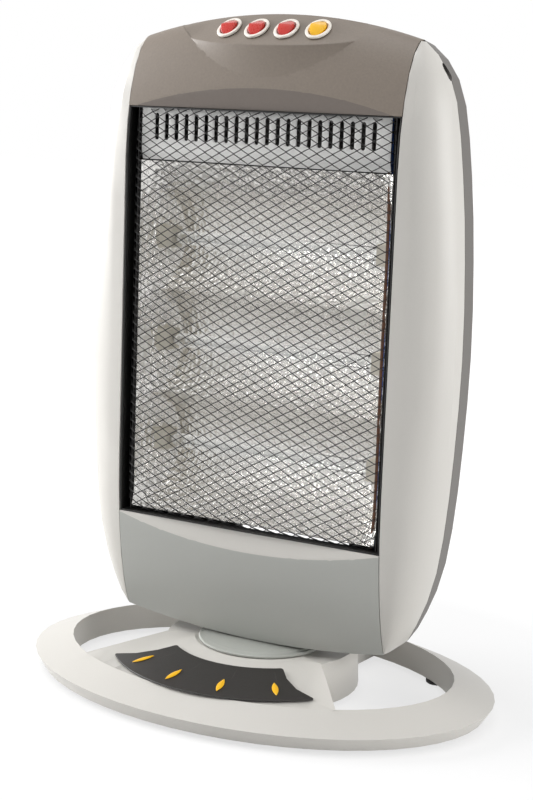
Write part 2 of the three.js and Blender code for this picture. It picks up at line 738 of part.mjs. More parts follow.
// How far a side panel stands out at a height, as a smooth curve through the outline's points.
function sideReach(z) {
  const last = SIDE_OUTLINE.length - 1;
  if (z <= SIDE_OUTLINE[0][0]) return SIDE_OUTLINE[0][1];
  if (z >= SIDE_OUTLINE[last][0]) return SIDE_OUTLINE[last][1];
  const i = SIDE_OUTLINE.findIndex(([height]) => height > z) - 1;
  const slope = (k) => {
    const [a, b] = [SIDE_OUTLINE[Math.max(0, k - 1)], SIDE_OUTLINE[Math.min(last, k + 1)]];
    return (b[1] - a[1]) / (b[0] - a[0]);
  };
  const [z0, w0] = SIDE_OUTLINE[i];
  const [z1, w1] = SIDE_OUTLINE[i + 1];
  const span = z1 - z0;
  const t = (z - z0) / span;
  const ease = 3 * t ** 2 - 2 * t ** 3;
  return (
    lerp(w0, w1, ease) + span * (slope(i) * t * (1 - t) ** 2 - slope(i + 1) * t ** 2 * (1 - t))
  );
}
const halfWidthAt = (z) => WINDOW_HALF_WIDTH + sideReach(z);

// The top and bottom edges of the head are shallow arcs from seam to seam.
function arcHeight(x, middle, seam) {
  const sagitta = middle - seam;
  const radius = (WINDOW_HALF_WIDTH ** 2 + sagitta ** 2) / (2 * sagitta);
  return middle - radius + Math.sign(radius) * Math.sqrt(radius ** 2 - x ** 2);
}
const topAt = (x) => arcHeight(x, HEAD_TOP, SEAM_TOP);
const bottomAt = (x) => arcHeight(x, HEAD_BOTTOM, SEAM_BOTTOM);
const chinLimit = (x) => bottomAt(x) - CHIN_TUCK;
const bowAt = (x) => FRONT_BOW * (1 - (x / WINDOW_HALF_WIDTH) ** 2);

// How far back the front has curved at a height, as a share of its depth: 1 in the middle, 0 at the edge.
function forwardShare(z, top, bottom) {
  if (z > CROWN_START) return Math.sqrt(Math.max(0, 1 - ((z - CROWN_START) / (top - CROWN_START)) ** 2));
  if (z < CHIN_START) return Math.sqrt(Math.max(0, 1 - ((CHIN_START - z) / (CHIN_START - bottom)) ** 2));
  return 1;
}

// The front surface at a place between the side panels' seams.
function frontY(x, z) {
  return SPLIT_Y - (FRONT_DEPTH + bowAt(x)) * forwardShare(z, topAt(x), chinLimit(x));
}

const PANEL_ROWS = 18;
const PANEL_COLUMNS = 6;
const FRONT_COLUMNS = 12;
const FRONT_ROWS = 8;

// Heights along a side panel, closer together at its rounded ends.
function panelHeight(share) {
  const eased = 0.5 - 0.5 * Math.cos(Math.PI * share);
  return lerp(SEAM_BOTTOM + 1.2, SEAM_TOP - 1.2, lerp(share, eased, 0.75));
}

function panelPoint(side, share, turn, inset) {
  const z = panelHeight(share);
  const reach = halfWidthAt(z) - WINDOW_HALF_WIDTH - SEAM_GAP / 2;
  const depth = SPLIT_Y - frontY(WINDOW_HALF_WIDTH, z);
  const wall = Math.min(inset, 0.6 * reach, 0.6 * depth);
  const angle = (Math.PI / 2) * turn;
  return [
    side * (WINDOW_HALF_WIDTH + SEAM_GAP / 2 + (reach - wall) * Math.sin(angle)),
    SPLIT_Y - (depth - wall) * Math.cos(angle),
    z,
  ];
}

function sidePanel(side) {
  const outer = (u, v) => panelPoint(side, u, v, 0);
  const inner = (u, v) => panelPoint(side, u, v, SHELL_WALL);
  return cut(between(outer, inner, PANEL_ROWS, PANEL_COLUMNS), edgeNotch(side));
}

// A finger notch where the side panel meets the rear cover.
function edgeNotch(side) {
  const x = halfWidthAt(NOTCH_Z);
  return new THREE.CylinderGeometry(NOTCH_RADIUS, NOTCH_RADIUS, 14, 16)
    .rotateZ(Math.PI / 2)
    .scale(1, 0.6, 1)
    .translate(side * x, SPLIT_Y, NOTCH_Z);
}

// A shell of the front between the seams, from a window's edge to the head's edge.
function frontShell(start, edge, limit, finishAt) {
  const halfWidth = WINDOW_HALF_WIDTH - SEAM_GAP / 2;
  const skin = (inset) => (u, v) => {
    const x = lerp(-halfWidth, halfWidth, u);
    const full = limit(x) - start;
    const span = Math.abs(full) - inset;
    const first = Math.asin(Math.abs(edge - start) / span);
    const last = Math.asin(Math.min(1, (Math.abs(finishAt(x) - start) - inset) / span));
    const angle = lerp(first, last, v);
    const depth = FRONT_DEPTH + bowAt(x) - inset;
    return [x, SPLIT_Y - depth * Math.cos(angle), start + Math.sign(full) * span * Math.sin(angle)];
  };
  return between(skin(0), skin(SHELL_WALL), FRONT_COLUMNS, FRONT_ROWS);
}

function podTop(x, y) {
  return topAt(x) + POD_SLOPE * (y - SPLIT_Y);
}

// The solid between the pod's top, drawn in by an inset, and a level plane below or above it.
function pod(inset, low) {
  const half = POD_HALF_WIDTH - inset;
  const sagitta = POD_SAGITTA - inset;
  const radius = (half ** 2 + sagitta ** 2) / (2 * sagitta);
  const spot = (u, v) => {
    const x = lerp(-half, half, lerp(0.004, 0.996, u));
    const front = SPLIT_Y - sagitta + radius - Math.sqrt(radius ** 2 - x ** 2);
    return [x, lerp(front, inset ? SPLIT_Y + 1 : SPLIT_Y, v)];
  };
  const top = (u, v) => {
    const [x, y] = spot(u, v);
    return [x, y, podTop(x, y) - inset * 1.2];
  };
  const level = (u, v) => [...spot(u, v), low];
  return between(top, level, 14, 1);
}

// Places on the pod's sloping top, with the direction that faces away from it.
function switchFrame(i) {
  const x = (i - (SWITCH_COUNT - 1) / 2) * SWITCH_PITCH;
  const y = SWITCH_Y + x ** 2 / (2 * SWITCH_ARC);
  const frame = new THREE.Object3D();
  const tiltX = (topAt(x - 1) - topAt(x + 1)) / 2;
  const up = new THREE.Vector3(tiltX, -POD_SLOPE, 1).normalize();
  const right = new THREE.Vector3(1, 0, -tiltX).normalize();
  const back = up.clone().cross(right);
  frame.quaternion.setFromRotationMatrix(new THREE.Matrix4().makeBasis(right, back, up));
  frame.position.set(x, y, podTop(x, y));
  frame.updateMatrix();
  return frame;
}

function oval(width, length, sides = 16) {
  return Array.from({ length: sides }, (_, i) => {
    const angle = (2 * Math.PI * i) / sides;
    return [(width / 2) * Math.cos(angle), (length / 2) * Math.sin(angle)];
  });
}

const BODY_SHRINK = 3.2; // the switch body is narrower than its flange

function topCover() {
  const cover = frontShell(CROWN_START, WINDOW_TOP, topAt, topAt);
  const holes = Array.from({ length: SWITCH_COUNT }, (_, i) =>
    prism(oval(SWITCH_WIDTH - BODY_SHRINK + 0.7, SWITCH_LENGTH - BODY_SHRINK + 0.7), 16)
      .translate(0, 0, -9)
      .applyMatrix4(switchFrame(i).matrix),
  );
  const open = joined(cut(cover, pod(0, HEAD_TOP + 10)), pod(0, POD_FLOOR));
  return cut(open, pod(SHELL_WALL, POD_FLOOR + SHELL_WALL), ...holes);
}

function neckOpening() {
  return post(NECK_HOLE, DISH_FLOOR, HEAD_PLATE_LOW, 0, PIVOT_Y, 32);
}

// The lower panel ends in a flat underside that the neck passes through.
function lowerPanel() {
  const panel = frontShell(CHIN_START, WINDOW_BOTTOM, chinLimit, bottomAt);
  const halfWidth = WINDOW_HALF_WIDTH - SEAM_GAP / 2;
  const underside = (lift) => (u, v) => {
    const x = lerp(-halfWidth, halfWidth, u);
    const z = bottomAt(x) + lift;
    return [x, lerp(frontY(x, z) + lift / 4, SPLIT_Y, v), z];
  };
  return cut(joined(panel, between(underside(0), underside(SHELL_WALL), FRONT_COLUMNS, 1)), neckOpening());
}

// The closed outline of the head at its split, drawn in by an inset.
function headLoop(inset, y) {
  const right = [];
  const arcSteps = 5;
  for (let i = 0; i <= arcSteps; i++) {
    const x = (WINDOW_HALF_WIDTH * i) / arcSteps;
    right.push([x, topAt(x)]);
  }
  for (let i = 1; i < PANEL_ROWS; i++) {
    const z = panelHeight(1 - i / PANEL_ROWS);
    right.push([halfWidthAt(z), z]);
  }
  for (let i = arcSteps; i >= 0; i--) {
    const x = (WINDOW_HALF_WIDTH * i) / arcSteps;
    right.push([x, bottomAt(x)]);
  }
  const left = right
    .slice(1, -1)
    .reverse()
    .map(([x, z]) => [-x, z]);
  const widest = WINDOW_HALF_WIDTH + Math.max(...SIDE_OUTLINE.map(([, extra]) => extra));
  const middle = (HEAD_TOP + HEAD_BOTTOM) / 2;
  const halfHeight = (HEAD_TOP - HEAD_BOTTOM) / 2;
  return [...right, ...left].map(([x, z]) => [
    x * (1 - inset / widest),
    y,
    middle + (z - middle) * (1 - inset / halfHeight),
  ]);
}

const REAR_FRONT_Y = SPLIT_Y + SEAM_GAP;
const REAR_BACK_Y = SPLIT_Y + REAR_DEPTH;

function rearTray() {
  const steps = [
    [0, 0],
    [0.45, 3],
    [0.75, 10],
    [0.92, 19],
    [1, 29],
  ];
  const outer = steps.map(([share, inset]) => headLoop(inset, lerp(REAR_FRONT_Y, REAR_BACK_Y, share)));
  const inner = steps.map(([share, inset]) =>
    headLoop(inset + SHELL_WALL, lerp(REAR_FRONT_Y, REAR_BACK_Y - SHELL_WALL, share)),
  );
  return lofted([...outer.reverse(), ...inner], ([x, , z]) => new THREE.Vector2(-x, z));
}

function rearScrewPlaces() {
  return [
    [-88, 120],
    [88, 120],
    [-84, 396],
    [84, 396],
  ];
}

function rearCover() {
  const slots = [];
  for (const middle of [150, 330]) {
    for (let i = 0; i < REAR_SLOT_COUNT; i++) {
      const z = middle + (i - (REAR_SLOT_COUNT - 1) / 2) * REAR_SLOT_PITCH;
      const half = REAR_SLOT_HALF_WIDTH;
      const [low, high] = [z - REAR_SLOT_HEIGHT / 2, z + REAR_SLOT_HEIGHT / 2];
      slots.push(block(-half, half, REAR_BACK_Y - 8, REAR_BACK_Y + 1, low, high));
    }
  }
  const grip = block(
    -GRIP_HALF_WIDTH,
    GRIP_HALF_WIDTH,
    REAR_BACK_Y - GRIP_DEPTH,
    REAR_BACK_Y + 5,
    GRIP_Z - GRIP_HEIGHT / 2,
    GRIP_Z + GRIP_HEIGHT / 2,
  );
  const inlet = post(INLET_RADIUS + FIT_GAP, -20, 20, 0, 0, 20)
    .rotateX(Math.PI / 2)
    .translate(0, REAR_BACK_Y, INLET_Z);
  const screwHoles = rearScrewPlaces().map(([x, z]) =>
    post(SCREW_SHANK_RADIUS + FIT_GAP, -20, 20, 0, 0, 12).rotateX(Math.PI / 2).translate(x, REAR_BACK_Y - 3, z),
  );
  return cut(rearTray(), ...slots, grip, inlet, neckOpening(), edgeNotch(-1), edgeNotch(1), ...screwHoles);
}

// A dark tub behind the opening of the rear cover, for the fingers of one hand.
function gripTub() {
  const half = GRIP_HALF_WIDTH;
  const [low, high] = [GRIP_Z - GRIP_HEIGHT / 2, GRIP_Z + GRIP_HEIGHT / 2];
  const inner = REAR_BACK_Y - GRIP_DEPTH;
  const outside = REAR_BACK_Y - SHELL_WALL - FIT_GAP;
  const tub = block(-half - 2, half + 2, inner - 2, outside, low - 2, high + 2);
  const space = block(-half, half, inner, outside + 1, low, high);
  return cut(tub, space);
}

function cordInlet() {
  const profile = [
    [3.2, -10],
    [INLET_RADIUS, -10],
    [INLET_RADIUS, FIT_GAP],
    [INLET_RADIUS + 2.5, FIT_GAP],
    [INLET_RADIUS + 2.5, 2.5],
    [INLET_RADIUS - 1, 5],
    [3.2, 5],
  ];
  return turned(profile, 0, 0, 20)
    .rotateX(-Math.PI / 2)
    .translate(0, REAR_BACK_Y, INLET_Z);
}

function panScrew(shank) {
  const profile = [
    [0, -shank],
    [SCREW_SHANK_RADIUS, -shank],
    [SCREW_SHANK_RADIUS, FIT_GAP],
    [SCREW_HEAD_RADIUS, FIT_GAP],
    [SCREW_HEAD_RADIUS - 0.6, 2],
    [0, 2.4],
  ];
  return new THREE.LatheGeometry(profile.map(([r, z]) => new THREE.Vector2(r, z)), 10).rotateX(Math.PI / 2);
}

// ---------------------------------------------------------------- controls

function switchBody() {
  const flange = prism(oval(SWITCH_WIDTH, SWITCH_LENGTH), SWITCH_FLANGE).translate(0, 0, FIT_GAP + 0.15);
  const body = prism(oval(SWITCH_WIDTH - BODY_SHRINK, SWITCH_LENGTH - BODY_SHRINK), SWITCH_BODY_DEPTH + 1).translate(
    0,
    0,
    -SWITCH_BODY_DEPTH,
  );
  const well = prism(oval(SWITCH_WIDTH - 6, SWITCH_LENGTH - 6), 9).translate(0, 0, -4);
  return cut(joined(flange, body), well);
}

// A rocker with its two faces at an angle, drawn in the level position about its pin.
function rocker() {
  const width = SWITCH_WIDTH - 6 - 2 * ROCKER_CLEARANCE;
  const half = (SWITCH_LENGTH - 6) / 2 - 2 * ROCKER_CLEARANCE;
  const side = [
    [-half + 1.4, -1.4],
    [half - 1.4, -1.4],
    [half, 3.4],
    [0, 1.9],
    [-half, 3.4],
  ];
  const wedge = prism(side, width).rotateX(Math.PI / 2).rotateZ(Math.PI / 2).translate(-width / 2, 0, 0);
  const mould = prism(oval(width, 2 * half + 1), 12).translate(0, 0, -6);
  return geometryOf(solid(wedge).intersect(solid(mould)));
}

// ---------------------------------------------------------------- heating section

// A diamond mesh cut from sheet, bent to follow the front.
function grille() {
  const halfX = WINDOW_HALF_WIDTH - SEAM_GAP - 0.6;
  const [low, high] = [WINDOW_BOTTOM + 0.5, WINDOW_TOP - 0.5];
  const shape = rectangle(-halfX, halfX, low, high);
  const cellX = (2 * (halfX - GRILLE_BORDER)) / GRILLE_CELLS_X;
  const cellZ = (high - low - 2 * GRILLE_BORDER) / GRILLE_CELLS_Z;
  const diagonal = (GRILLE_BAR / 2) * Math.hypot(cellX, cellZ);
  const [dx, dz] = [cellX / 2 - diagonal / cellZ, cellZ / 2 - diagonal / cellX];
  const diamond = (x, z) => {
    const corners = [
      [x - dx, z],
      [x, z + dz],
      [x + dx, z],
      [x, z - dz],
    ];
    shape.holes.push(new THREE.Path(corners.map(([a, b]) => new THREE.Vector2(a, b))));
  };
  for (let i = 0; i < GRILLE_CELLS_X; i++) {
    for (let j = 0; j < GRILLE_CELLS_Z; j++) {
      const x = -halfX + GRILLE_BORDER + (i + 0.5) * cellX;
      const z = low + GRILLE_BORDER + (j + 0.5) * cellZ;
      diamond(x, z);
      if (i < GRILLE_CELLS_X - 1 && j < GRILLE_CELLS_Z - 1) diamond(x + cellX / 2, z + cellZ / 2);
    }
  }
  const sheet = new THREE.ExtrudeGeometry(shape, { depth: GRILLE_THICKNESS, bevelEnabled: false });
  sheet.rotateX(Math.PI / 2);
  const position = sheet.getAttribute("position");
  for (let i = 0; i < position.count; i++) {
    const [x, y, z] = [position.getX(i), position.getY(i), position.getZ(i)];
    position.setY(i, frontY(x, z) + GRILLE_RECESS + GRILLE_THICKNESS + y);
  }
  return sheet;
}

const TROUGH_BOTTOM = TUBE_MIDDLE - (TUBE_COUNT * TUBE_PITCH) / 2;
const REFLECTOR_HALF_WIDTH = BRACKET_X - REFLECTOR_END_GAP;

// The reflector's section from bottom to top: a flange, three parabolic troughs and a flange.
function reflectorSection() {
  const steps = 8;
  const section = [[-23, WINDOW_BOTTOM + 4]];
  for (let k = 0; k < TUBE_COUNT; k++) {
    for (let i = k ? 1 : 0; i <= steps; i++) {
      const share = i / steps;
      const across = 2 * share - 1;
      section.push([
        REFLECTOR_RIM_Y + TROUGH_DEPTH * (1 - across * across),
        TROUGH_BOTTOM + TUBE_PITCH * (k + share),
      ]);
    }
  }
  section.push([VENT_Y + 2.5, VENT_BOTTOM - 1]);
  return section;
}

function reflector() {
  const section = reflectorSection();
  const front = (u, v) => {
    const [y, z] = section[Math.round(v * (section.length - 1))];
    return [lerp(-REFLECTOR_HALF_WIDTH, REFLECTOR_HALF_WIDTH, u), y, z];
  };
  const back = (u, v) => {
    const [x, y, z] = front(u, v);
    return [x, y + 2 * SHEET, z];
  };
  return between(front, back, 1, section.length - 1);
}

function ventPlate() {
  const halfX = BRACKET_X - SHEET - 1.5;
  const upper = VENT_TOP - VENT_FOLD;
  const shape = rectangle(-halfX, halfX, 0, upper);
  for (let i = 0; i < SLOT_COUNT; i++) {
    const x = (i - (SLOT_COUNT - 1) / 2) * SLOT_PITCH;
    const half = SLOT_WIDTH / 2;
    const [low, high] = [SLOT_LOW - VENT_FOLD, SLOT_HIGH - VENT_FOLD];
    const corners = [
      [x - half, low + half],
      [x - half, high - half],
      [x, high],
      [x + half, high - half],
      [x + half, low + half],
      [x, low],
    ];
    shape.holes.push(new THREE.Path(corners.map(([a, b]) => new THREE.Vector2(a, b))));
  }
  const plate = new THREE.ExtrudeGeometry(shape, { depth: SHEET, bevelEnabled: false })
    .rotateX(Math.PI / 2)
    .translate(0, VENT_Y, VENT_FOLD);
  const foldSection = [
    [VENT_Y - SHEET, VENT_FOLD + 0.5],
    [VENT_Y, VENT_FOLD + 0.5],
    [VENT_Y + 2, VENT_BOTTOM],
    [VENT_Y + 2 - SHEET, VENT_BOTTOM],
  ];
  const fold = prism(foldSection, 2 * halfX).rotateX(Math.PI / 2).rotateZ(Math.PI / 2).translate(-halfX, 0, 0);
  return joined(plate, fold);
}

function sideBracket(side) {
  const outline = [
    [BRACKET_X, BRACKET_FRONT],
    [BRACKET_X + SHEET, BRACKET_FRONT],
    [BRACKET_X + SHEET, BRACKET_BACK],
    [BRACKET_X - BRACKET_FLANGE, BRACKET_BACK],
    [BRACKET_X - BRACKET_FLANGE, BRACKET_BACK - SHEET],
    [BRACKET_X, BRACKET_BACK - SHEET],
  ];
  const flat = outline.map(([x, y]) => [side * x, y]);
  return prism(flat, BRACKET_TOP - BRACKET_LOW).translate(0, 0, BRACKET_LOW);
}

// A steel strap from the head plate up to each bracket's flange.
function legStrap(side) {
  const outer = BRACKET_X - BRACKET_FLANGE + 10;
  const x = PLATE_HALF_WIDTH;
  const low = HEAD_PLATE_TOP + FIT_GAP;
  const back = BRACKET_BACK - SHEET - FIT_GAP;
  const span = (from, to) => (side > 0 ? [from, to] : [-to, -from]);
  return joined(
    block(...span(x - 14, x), 8, back, low, low + SHEET),
    block(...span(x - SHEET, x), 8, back, low, BRACKET_LOW),
    block(...span(x - SHEET, outer), back - SHEET, back, BRACKET_LOW - 8, BRACKET_LOW + 20),
  );
}

function lampHeight(i) {
  return TUBE_MIDDLE + (i - (TUBE_COUNT - 1) / 2) * TUBE_PITCH;
}

function halogenTube() {
  const half = TUBE_LENGTH / 2;
  const profile = [
    [0, -half],
    [TUBE_NIPPLE, -half],
    [TUBE_NIPPLE, -half + 3],
    [TUBE_RADIUS, -half + 7],
    [TUBE_RADIUS, half - 7],
    [TUBE_NIPPLE, half - 3],
    [TUBE_NIPPLE, half],
    [0, half],
  ];
  return new THREE.LatheGeometry(profile.map(([r, z]) => new THREE.Vector2(r, z)), 12).rotateZ(Math.PI / 2);
}

function lampSocket(side) {
  const inner = TUBE_LENGTH / 2 - 3;
  const outer = BRACKET_X - FIT_GAP;
  const half = SOCKET_SIZE / 2;
  const body = block(side > 0 ? inner : -outer, side > 0 ? outer : -inner, -half, half, -half, half);
  const bore = new THREE.CylinderGeometry(TUBE_NIPPLE + 0.4, TUBE_NIPPLE + 0.4, 8, 14)
    .rotateZ(Math.PI / 2)
    .translate(side * inner, 0, 0);
  return cut(body, bore);
}

function heatShield() {
  return block(-86, 86, 28, 28 + SHEET, WINDOW_BOTTOM + 12, 372);
}

function thermalCutout() {
  return joined(
    post(8, 0, 6, 0, 0, 20),
    block(-11, 11, -3, 3, 0, 1.5),
  )
    .rotateX(-Math.PI / 2)
    .translate(52, 28 + SHEET + FIT_GAP, 356);
}

function terminalBlock() {
  const body = block(-62, -30, 2, 18, HEAD_PLATE_TOP + FIT_GAP, 66);
  const wells = [-56, -46, -36].map((x) => post(2.6, 58, 70, x, 10, 10));
  return cut(body, ...wells);
}

// A lead that runs up beside the lamps, held by the bracket all the way.
function lampLead(x, y) {
  const route = new THREE.CatmullRomCurve3([
    new THREE.Vector3(x - 6, y + 3, 72),
    new THREE.Vector3(x - 3, y, 100),
    new THREE.Vector3(x, y, 140),
    new THREE.Vector3(x, y, 240),
    new THREE.Vector3(x, y, 350),
    new THREE.Vector3(x - 3, y, 424),
  ]);
  const section = new THREE.Shape(oval(2.4, 2.4, 6).map(([a, b]) => new THREE.Vector2(a, b)));
  return new THREE.ExtrudeGeometry(section, { steps: 14, bevelEnabled: false, extrudePath: route });
}

// ---------------------------------------------------------------- assembly

piece(base, "base_ring", baseShell(), PALE_PLASTIC);
piece(base, "base_inset", darkInset(), DARK_PLASTIC);
addMarkers();
piece(base, "base_bottom_plate", bottomPlate(), DARK_PLASTIC);
footPlaces().forEach(([x, y], i) => piece(base, `rubber_foot_${i + 1}`, rubberFoot(), RUBBER).position.set(x, y, 0));
piece(base, "tip_switch_case", tipSwitchCase(), DARK_PLASTIC);
piece(base, "tip_switch_plunger", tipPlunger(), RED_PLASTIC);
piece(base, "pivot_plate", pivotPlate(), ZINC_STEEL);
piece(base, "swing_yoke", swingYoke(), ZINC_STEEL);
piece(base, "retaining_ring", retainingRing(), ZINC_STEEL);

piece(head, "neck_collar", neckCollar(), COLLAR_PLASTIC);
piece(head, "head_plate", headPlate(), ZINC_STEEL);
piece(head, "swing_motor", swingMotor(), ZINC_STEEL);
piece(head, "crank_arm", crankArm(), DARK_PLASTIC);
piece(head, "left_side_panel", sidePanel(-1), PALE_PLASTIC);
piece(head, "right_side_panel", sidePanel(1), PALE_PLASTIC);
piece(head, "top_cover", topCover(), COVER_PLASTIC);
piece(head, "lower_front_panel", lowerPanel(), PALE_PLASTIC);
piece(head, "rear_cover", rearCover(), REAR_PLASTIC);
piece(head, "rear_grip_tub", gripTub(), DARK_PLASTIC);
piece(head, "cord_inlet", cordInlet(), DARK_PLASTIC);
rearScrewPlaces().forEach(([x, z], i) => {
  const screw = piece(head, `rear_screw_${i + 1}`, panScrew(9), ZINC_STEEL);
  screw.position.set(x, REAR_BACK_Y, z);
  screw.rotation.x = -Math.PI / 2;
});

for (let i = 0; i < SWITCH_COUNT; i++) {
  const place = switchFrame(i);
  head.add(place);
  piece(place, `switch_body_${i + 1}`, switchBody(), BEZEL_PLASTIC);
  const button = piece(place, `switch_rocker_${i + 1}`, rocker(), i < SWITCH_COUNT - 1 ? RED_PLASTIC : YELLOW_PLASTIC);
  button.rotation.x = degrees(ROCKER_TILT);
}

piece(head, "front_grille", grille(), BLACK_WIRE);
piece(head, "vent_plate", ventPlate(), WHITE_PAINT);
piece(head, "reflector", reflector(), HAMMERED_ALUMINIUM);
piece(head, "heat_shield", heatShield(), ZINC_STEEL);
piece(head, "left_bracket", sideBracket(-1), BLACK_PAINT);
piece(head, "right_bracket", sideBracket(1), BLACK_PAINT);
piece(head, "left_leg_strap", legStrap(-1), ZINC_STEEL);
piece(head, "right_leg_strap", legStrap(1), ZINC_STEEL);
for (let i = 0; i < TUBE_COUNT; i++) {
  piece(head, `halogen_tube_${i + 1}`, halogenTube(), QUARTZ).position.set(0, TUBE_Y, lampHeight(i));
  piece(head, `left_lamp_socket_${i + 1}`, lampSocket(-1), CERAMIC).position.set(0, TUBE_Y, lampHeight(i));
  piece(head, `right_lamp_socket_${i + 1}`, lampSocket(1), CERAMIC).position.set(0, TUBE_Y, lampHeight(i));
}
piece(head, "thermal_cutout", thermalCutout(), CERAMIC);
piece(head, "terminal_block", terminalBlock(), CERAMIC);
piece(head, "blue_lamp_lead", lampLead(BRACKET_X - 4, -14), BLUE_LEAD);
piece(head, "brown_lamp_lead", lampLead(BRACKET_X - 4, -18), BROWN_LEAD);

export default model;
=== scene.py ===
# %% [markdown]
# # A halogen heater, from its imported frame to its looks
# The frame holds every solid of the heater in its place. This lesson loads it, sets the camera
# and the light, mixes the finishes, and then models the pieces that need more than a solid can
# show: the wire mesh, the hammered reflector, the lamps, the rockers and the moulded shells.

# %% Load the frame
import json
import math

import bmesh
import bpy
from mathutils import Matrix, Vector


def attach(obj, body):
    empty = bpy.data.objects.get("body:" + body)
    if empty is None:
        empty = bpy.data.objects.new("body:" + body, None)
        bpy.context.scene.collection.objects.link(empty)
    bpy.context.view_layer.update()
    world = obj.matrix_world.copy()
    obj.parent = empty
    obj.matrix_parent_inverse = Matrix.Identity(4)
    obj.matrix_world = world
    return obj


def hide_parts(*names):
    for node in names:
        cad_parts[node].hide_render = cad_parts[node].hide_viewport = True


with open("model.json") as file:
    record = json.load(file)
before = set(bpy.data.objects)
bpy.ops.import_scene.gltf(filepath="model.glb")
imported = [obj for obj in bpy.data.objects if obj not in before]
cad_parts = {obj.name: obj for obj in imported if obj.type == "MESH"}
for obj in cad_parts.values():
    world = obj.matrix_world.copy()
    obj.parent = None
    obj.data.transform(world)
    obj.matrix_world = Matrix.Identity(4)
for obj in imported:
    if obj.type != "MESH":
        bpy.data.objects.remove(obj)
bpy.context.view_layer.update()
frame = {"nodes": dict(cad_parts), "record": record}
NODES = frame["nodes"]
RECORD = frame["record"]
SLOT_OF = {part["node"]: part["material_slot"] for part in RECORD["subparts"]}
BODY_OF = {node: body for body, nodes in RECORD["behaviour"]["bodies"].items() for node in nodes}
MM = 0.001
PIVOT = 5.3  # the turntable's axis stands this far behind the middle, in millimetres

# %% [markdown]
# ## The camera
# The photograph was taken from the right of the front, a little above the heater's head, with
# the camera tipped slightly on its side. A lens of 75 mm on a 36 mm sensor gives the same
# perspective, so every edge can fall where it does in the picture.

# %% Camera
AZIMUTH, ELEVATION, ROLL = math.radians(28.62), math.radians(10.4), math.radians(2.13)


def camera_axes(azimuth, elevation, roll):
    """The camera's own X, Y and Z directions, as the columns of a rotation."""
    right = Vector((math.cos(azimuth), math.sin(azimuth), 0))
    back = Vector((math.sin(azimuth) * math.cos(elevation), -math.cos(azimuth) * math.cos(elevation),
                   math.sin(elevation)))
    up = back.cross(right)
    x = right * math.cos(roll) + up * math.sin(roll)
    y = up * math.cos(roll) - right * math.sin(roll)
    return Matrix((x, y, back)).transposed()


view = bpy.data.cameras.new("photo_camera")
view.sensor_width = 36
view.lens = 75.24
view.shift_x = 0.0019
view.shift_y = 0.0012
view.clip_start, view.clip_end = 0.05, 60
camera = bpy.data.objects.new("photo_camera", view)
bpy.context.scene.collection.objects.link(camera)
camera.matrix_world = Matrix.Translation((0.5628, -1.0356, 0.4275)) @ camera_axes(
    AZIMUTH, ELEVATION, ROLL).to_4x4()
bpy.context.scene.camera = camera
print("camera at", tuple(round(v, 3) for v in camera.location))

# %% [markdown]
# ## Working by hand, in code
# Every operator acts on what is selected, so each helper here first clears the selection. The
# frame's own solids come selected, which would otherwise join in.

# %% Helpers for selecting and for edit mode
def only(piece):
    """Selects one object and makes it active."""
    if bpy.context.object and bpy.context.object.mode != "OBJECT":
        bpy.ops.object.mode_set(mode="OBJECT")
    bpy.ops.object.select_all(action="DESELECT")
    piece.select_set(True)
    bpy.context.view_layer.objects.active = piece
    return piece


def clear_selection():
    bpy.ops.object.select_all(action="DESELECT")


def named(name):
    """Names the new primitive and applies its place, so that its origin is the frame's."""
    piece = bpy.context.object
    piece.name = piece.data.name = name
    bpy.ops.object.transform_apply(location=True, rotation=True, scale=True)
    return piece


def pick(piece, kind, test):
    """In edit mode, selects the vertices, edges or faces that pass a test, and nothing else."""
    only(piece)
    bpy.ops.object.mode_set(mode="EDIT")
    bpy.ops.mesh.select_mode(type={"verts": "VERT", "edges": "EDGE", "faces": "FACE"}[kind])
    bpy.ops.mesh.select_all(action="DESELECT")
    work = bmesh.from_edit_mesh(piece.data)
    chosen = [item for item in getattr(work, kind) if test(item)]
    for item in chosen:
        item.select_set(True)
    work.select_flush_mode()
    bmesh.update_edit_mesh(piece.data)
    return len(chosen)


def object_mode():
    bpy.ops.object.mode_set(mode="OBJECT")


def place_vertices(piece, rule):
    """Moves each vertex to where a rule puts it."""
    for vertex in piece.data.vertices:
        vertex.co = rule(vertex.co)
    piece.data.update()


def modified(piece, kind, **settings):
    """Adds one modifier with its settings and applies it."""
    only(piece)
    modifier = piece.modifiers.new(kind.lower(), kind)
    for key, value in settings.items():
        setattr(modifier, key, value)
    bpy.ops.object.modifier_apply(modifier=modifier.name)
    return piece


def smooth(piece, degrees=35):
    only(piece)
    bpy.ops.object.shade_smooth_by_angle(angle=math.radians(degrees))
    return piece


def joined(first, *others):
    """Several pieces as one object, which keeps the first one's name."""
    only(first)
    for other in others:
        other.select_set(True)
    bpy.ops.object.join()
    return first


def put_on(piece, body, slot, *nodes, finish=None):
    """Gives the piece its finish, lets it ride on its body, and hides the solids it stands for."""
    piece.data.materials.clear()
    piece.data.materials.append(finish or FINISH[slot])
    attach(piece, body)
    if nodes:
        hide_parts(*nodes)
    print(f"{piece.name}: {len(piece.data.vertices)} vertices, {len(piece.data.polygons)} faces, on {body}")
    return piece


def shaded(piece, faces, finish):
    """Gives some of a piece's faces a second finish, a copy in another tone that paints on them the light and shade
    they get.
    """
    piece.data.materials.append(finish)
    for face in faces:
        face.material_index = 1
    print(f"{piece.name}: {len(faces)} faces with {finish.name}")


# %% [markdown]
# ## The floor and the light
# A product picture has no visible room: a pale floor runs into a white background, a broad soft
# lamp stands at each side, a third hangs overhead, and the white surroundings fill the rest. The
# floor shows the camera mostly white, so only the soft shadow under the heater is left of it.

